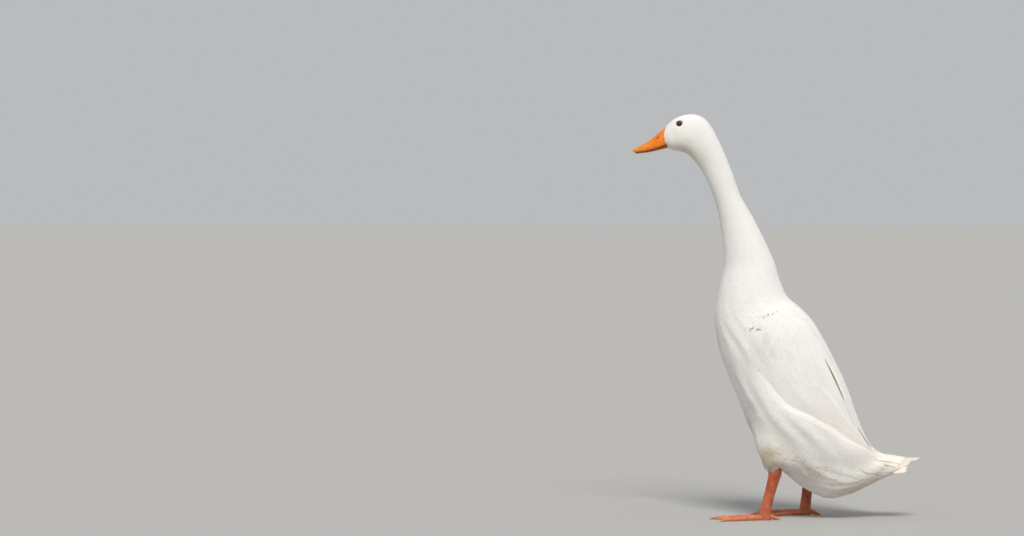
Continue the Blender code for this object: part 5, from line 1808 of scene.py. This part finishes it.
def toe_rings(ankle, side, bearing, length, joints, radius):
    ahead, left = toe_direction(bearing, side)
    body_length = length - CLAW_LENGTH
    angles = full_turn(24)
    rings = []
    for x in np.linspace(0, body_length, 60):
        share = x / body_length
        taper = radius * (1 - (1 - TOE_TIP_SHARE) * share)
        nearest = min(abs(share - joint) for joint in joints)
        swollen = taper * (0.88 + 0.18 * math.exp(-((nearest / 0.06) ** 2)))
        if share > 0.94:
            swollen *= math.sqrt(max(0.05, 1 - ((share - 0.94) / 0.06) ** 2 * 0.8))
        height = swollen * 0.8
        offset = left * swollen * np.cos(angles)[:, None]
        offset = offset + np.array([0, 0, 1.0]) * (height + swollen * 0.95 * np.sin(angles))[:, None]
        rings.append(ankle + ahead * x + offset)
    return np.array(rings)


def web_points(ankle, side):
    """The web as a fan of two skins, its front edge hollowed between the toes."""
    bearings = [math.radians(b) for _, b, *_ in TOES]
    lengths = [length - CLAW_LENGTH * 0.75 for _, _, length, *_ in TOES]
    rays = []
    for first in (0, 1):
        for share in np.linspace(0, 1, 15)[first:]:
            bearing = bearings[first] + (bearings[first + 1] - bearings[first]) * share
            straight = lengths[first] + (lengths[first + 1] - lengths[first]) * share
            rays.append((side * bearing, straight * (1 - 0.15 * math.sin(math.pi * share)), share))
    rings = []
    for bearing, reach, share in rays:
        sag = 0.45 * math.sin(math.pi * share)
        radii = np.linspace(0.06, 1.0, 26) * reach
        top = WEB_THICKNESS - sag * np.sin(np.pi * np.linspace(0.06, 1.0, 26))
        x, y = -radii * math.cos(bearing), radii * math.sin(bearing)
        upper = np.stack([x, y, top], -1)
        lower = np.stack([x, y, np.full(26, -0.6)], -1)[::-1]
        rings.append(ankle + np.concatenate([upper, lower]))
    return np.array(rings)


def foot_mesh(name, side, shank):
    """The leg below the feathers, as overlapping closed forms that build_leg melts into one."""
    ankle = np.array([shank[-2][0][0], side * LEG_OUT, 0.0])
    angles = full_turn(40)
    pieces = [limb_tube(limb(shank, side), 0, len(shank) - 1, 90, 40)]
    block = []
    for z in np.linspace(-1, ANKLE_HEIGHT, 10):
        grow = np.interp(z, (-1.0, 2.5, 6.0, ANKLE_HEIGHT), (0.75, 0.95, 1.0, 0.92))
        ring = [ANKLE_HALF[0] * grow * np.cos(angles), ANKLE_HALF[1] * grow * np.sin(angles), np.full(40, z)]
        block.append(ankle + np.stack(ring, -1))
    pieces.append(tube(np.array(block) * MM))
    for _, bearing, length, joints, radius in TOES:
        pieces.append(tube(toe_rings(ankle, side, bearing, length, joints, radius) * MM))
    pieces.append(tube(web_points(ankle, side) * MM))
    path = np.array([[px, -side * 0.22 * px, pz] for px, pz in HALLUX])
    fine = spline(np.column_stack([path, HALLUX_RADII]), np.linspace(0, 3, 20))
    hind = [row[:3] + row[3] * np.stack([0 * angles, np.cos(angles), np.sin(angles)], -1) for row in fine]
    pieces.append(tube((np.array(hind) + ankle) * MM))
    return make_object("leg_" + name, *join_parts(pieces)), ankle


# %% [markdown]
# ## Scales raised in the mesh
# A point on the leg knows how far along the shank or the nearest toe it lies and how far round. Bands along
# the front, with a groove between them, make the broad plates. Elsewhere a staggered honeycomb makes the
# small ones. The soles stay flat, since the duck stands on them.


# %% Scale heights
def honeycomb(u, v, size):
    """Height of small rounded scales in staggered rows: 1 in the middle of each and 0 at its rim."""
    best = np.full(np.shape(u), 9.0)
    row = np.round(v / (size * 0.866))
    for step in (-1, 0, 1):
        r = row + step
        offset = 0.5 * (r % 2)
        column = np.round(u / size - offset) + offset
        away = np.hypot(u - column * size, v - r * size * 0.866) / (size / 2)
        best = np.minimum(best, away)
    return np.clip(1.1 - best**2, 0, 1)


def plates(along, across, length, half_width):
    """Height of broad plates in one row, a groove after each, fading out at the row's sides."""
    share = along / length
    cross = np.abs((share % 1) - 0.5) * 2
    curved = 1 - np.clip((cross - 0.72) / 0.28, 0, 1) ** 1.5
    return curved * np.clip((half_width - np.abs(across)) / (0.35 * half_width), 0, 1)


SHANK_PLATE, TOE_PLATE, SMALL_SCALE, WEB_SCALE = 3.4, 2.5, 1.7, 1.5
PLATE_HEIGHT, SCALE_HEIGHT, WEB_SCALE_HEIGHT = 0.46, 0.24, 0.12


def scale_height(points, normals, side, shank, ankle):
    """Height of the scales in millimetres at points of the leg, given in millimetres."""
    x, y, z = points.T
    rows = np.array([[p[1], p[0]] for p, *_ in shank])[::-1]
    centre_x = np.interp(z, rows[:, 0], rows[:, 1])
    around = np.arctan2(y - side * LEG_OUT, -(x - centre_x))
    front = plates(z, around * 6.5, SHANK_PLATE, 4.6)
    small = honeycomb(around * 6.5, z, SMALL_SCALE)
    on_shank = np.clip((z - 9) / 4, 0, 1)
    height = on_shank * np.maximum(PLATE_HEIGHT * front, SCALE_HEIGHT * small)
    flat_points = points - ankle
    best, toe_height = np.full(len(points), 99.0), np.zeros(len(points))
    for _, bearing, length, _, radius in TOES:
        ahead, left = toe_direction(bearing, side)
        along, across = flat_points @ ahead, flat_points @ left
        near = np.abs(across) + 50 * (along < 0) + 50 * (along > length)
        better = near < best
        value = plates(along, across, TOE_PLATE, radius)
        toe_height = np.where(better, value * (near < radius * 1.25), toe_height)
        best = np.minimum(best, near)
    web_scales = honeycomb(flat_points[:, 0], flat_points[:, 1], WEB_SCALE) * (best > 3.0)
    web_scales = web_scales * np.clip((z - 0.8) / 0.6, 0, 1)
    on_top = np.clip(normals[:, 2] * 2, 0, 1) * (1 - on_shank)
    return height + on_top * (PLATE_HEIGHT * toe_height + WEB_SCALE_HEIGHT * web_scales)


def build_leg(name, side, shank, material, claw_horn):
    leg, ankle = foot_mesh(name, side, shank)
    remesh = leg.modifiers.new("melt", "REMESH")
    remesh.mode, remesh.voxel_size, remesh.use_smooth_shade = "VOXEL", FOOT_VOXEL, True
    smooth = leg.modifiers.new("round", "SMOOTH")
    smooth.factor, smooth.iterations = 0.5, 4
    applied(leg)
    points = vertex_points(leg) / MM
    normals = np.empty(len(points) * 3, np.float32)
    leg.data.vertices.foreach_get("normal", normals)
    normals = normals.reshape(-1, 3)
    height = scale_height(points, normals, side, shank, ankle)
    groove = 1 - np.clip(height / 0.2, 0, 1)
    points = points + normals * height[:, None]
    points[:, 2] = np.maximum(points[:, 2], 0.0)
    move_points(leg, points * MM + SHIFT)
    set_values(leg, "groove", groove)
    leg.data.update()
    finish_piece(leg, material, "leg", "shank_" + name, "foot_" + name)
    build_claws(name, side, ankle, claw_horn)


def build_claws(name, side, ankle, claw_horn):
    """Curved claws, flattened below, that grow out of the toes' ends."""
    angles = full_turn(20)
    claws = []
    for _, bearing, length, *_ in TOES:
        ahead, left = toe_direction(bearing, side)
        rings = []
        for share in np.linspace(0, 1, 24):
            radius = CLAW_RADIUS * (1.0 - share**1.6) * 0.95 + 0.15
            rise = 1.75 * (1 - share) ** 0.8 + 0.25
            centre = ankle + ahead * (length - CLAW_LENGTH - 2.0 + (CLAW_LENGTH + 1.6) * share)
            ring = centre + left * radius * np.cos(angles)[:, None]
            up = np.maximum(rise + radius * 0.85 * np.sin(angles), 0.05)
            rings.append(ring + np.array([0, 0, 1.0]) * up[:, None])
        claws.append(tube(np.array(rings) * MM))
    obj = make_object("claws_" + name, *join_parts(claws))
    turn_outwards(obj)
    finish_piece(obj, claw_horn, "leg")


def leg_material():
    """Orange scales with darker, drier skin in the grooves between them, and paler salmon towards the floor.
    """
    material, tree, shader = new_material("scaled orange skin", Specular_IOR_Level=0.4)
    let_light_in(shader, 0.12, (1.0, 0.3, 0.1), 0.003)
    horn = use_group(tree, horny_skin, Light=(0.64, 0.165, 0.070, 1), Deep=(0.30, 0.045, 0.022, 1),
                     Stain=(0.22, 0.09, 0.05, 1), Mottle_Size=110.0, Grain_Size=1200.0, Stain_Amount=0.45,
                     Gloss=0.45)
    groove = multiply(tree, mark_value(tree, "groove"), 0.60)
    colour = mix_colour(tree, groove, horn["Colour"], (0.26, 0.07, 0.03, 1))
    z = add_node(tree, "SeparateXYZ", None, {0: object_places(tree)}).outputs[2]
    low = multiply(tree, ramp(tree, z, 0.012, 0.0), 0.55)
    paler = mix_colour(tree, low, colour, (0.80, 0.30, 0.12, 1))
    link_finish(tree, shader, paler, horn["Roughness"], horn["Height"], 0.0001)
    return material


scaled_skin = leg_material()
claw_horn = horn_material(
    "claw horn", 0.00008, Light=(0.50, 0.30, 0.15, 1), Deep=(0.26, 0.13, 0.06, 1),
    Mottle_Size=300.0, Grain_Size=1800.0, Stain_Amount=0.4, Gloss=0.35,
)
for leg_name, side, _, shank in LEGS:
    build_leg(leg_name, side, shank, scaled_skin, claw_horn)
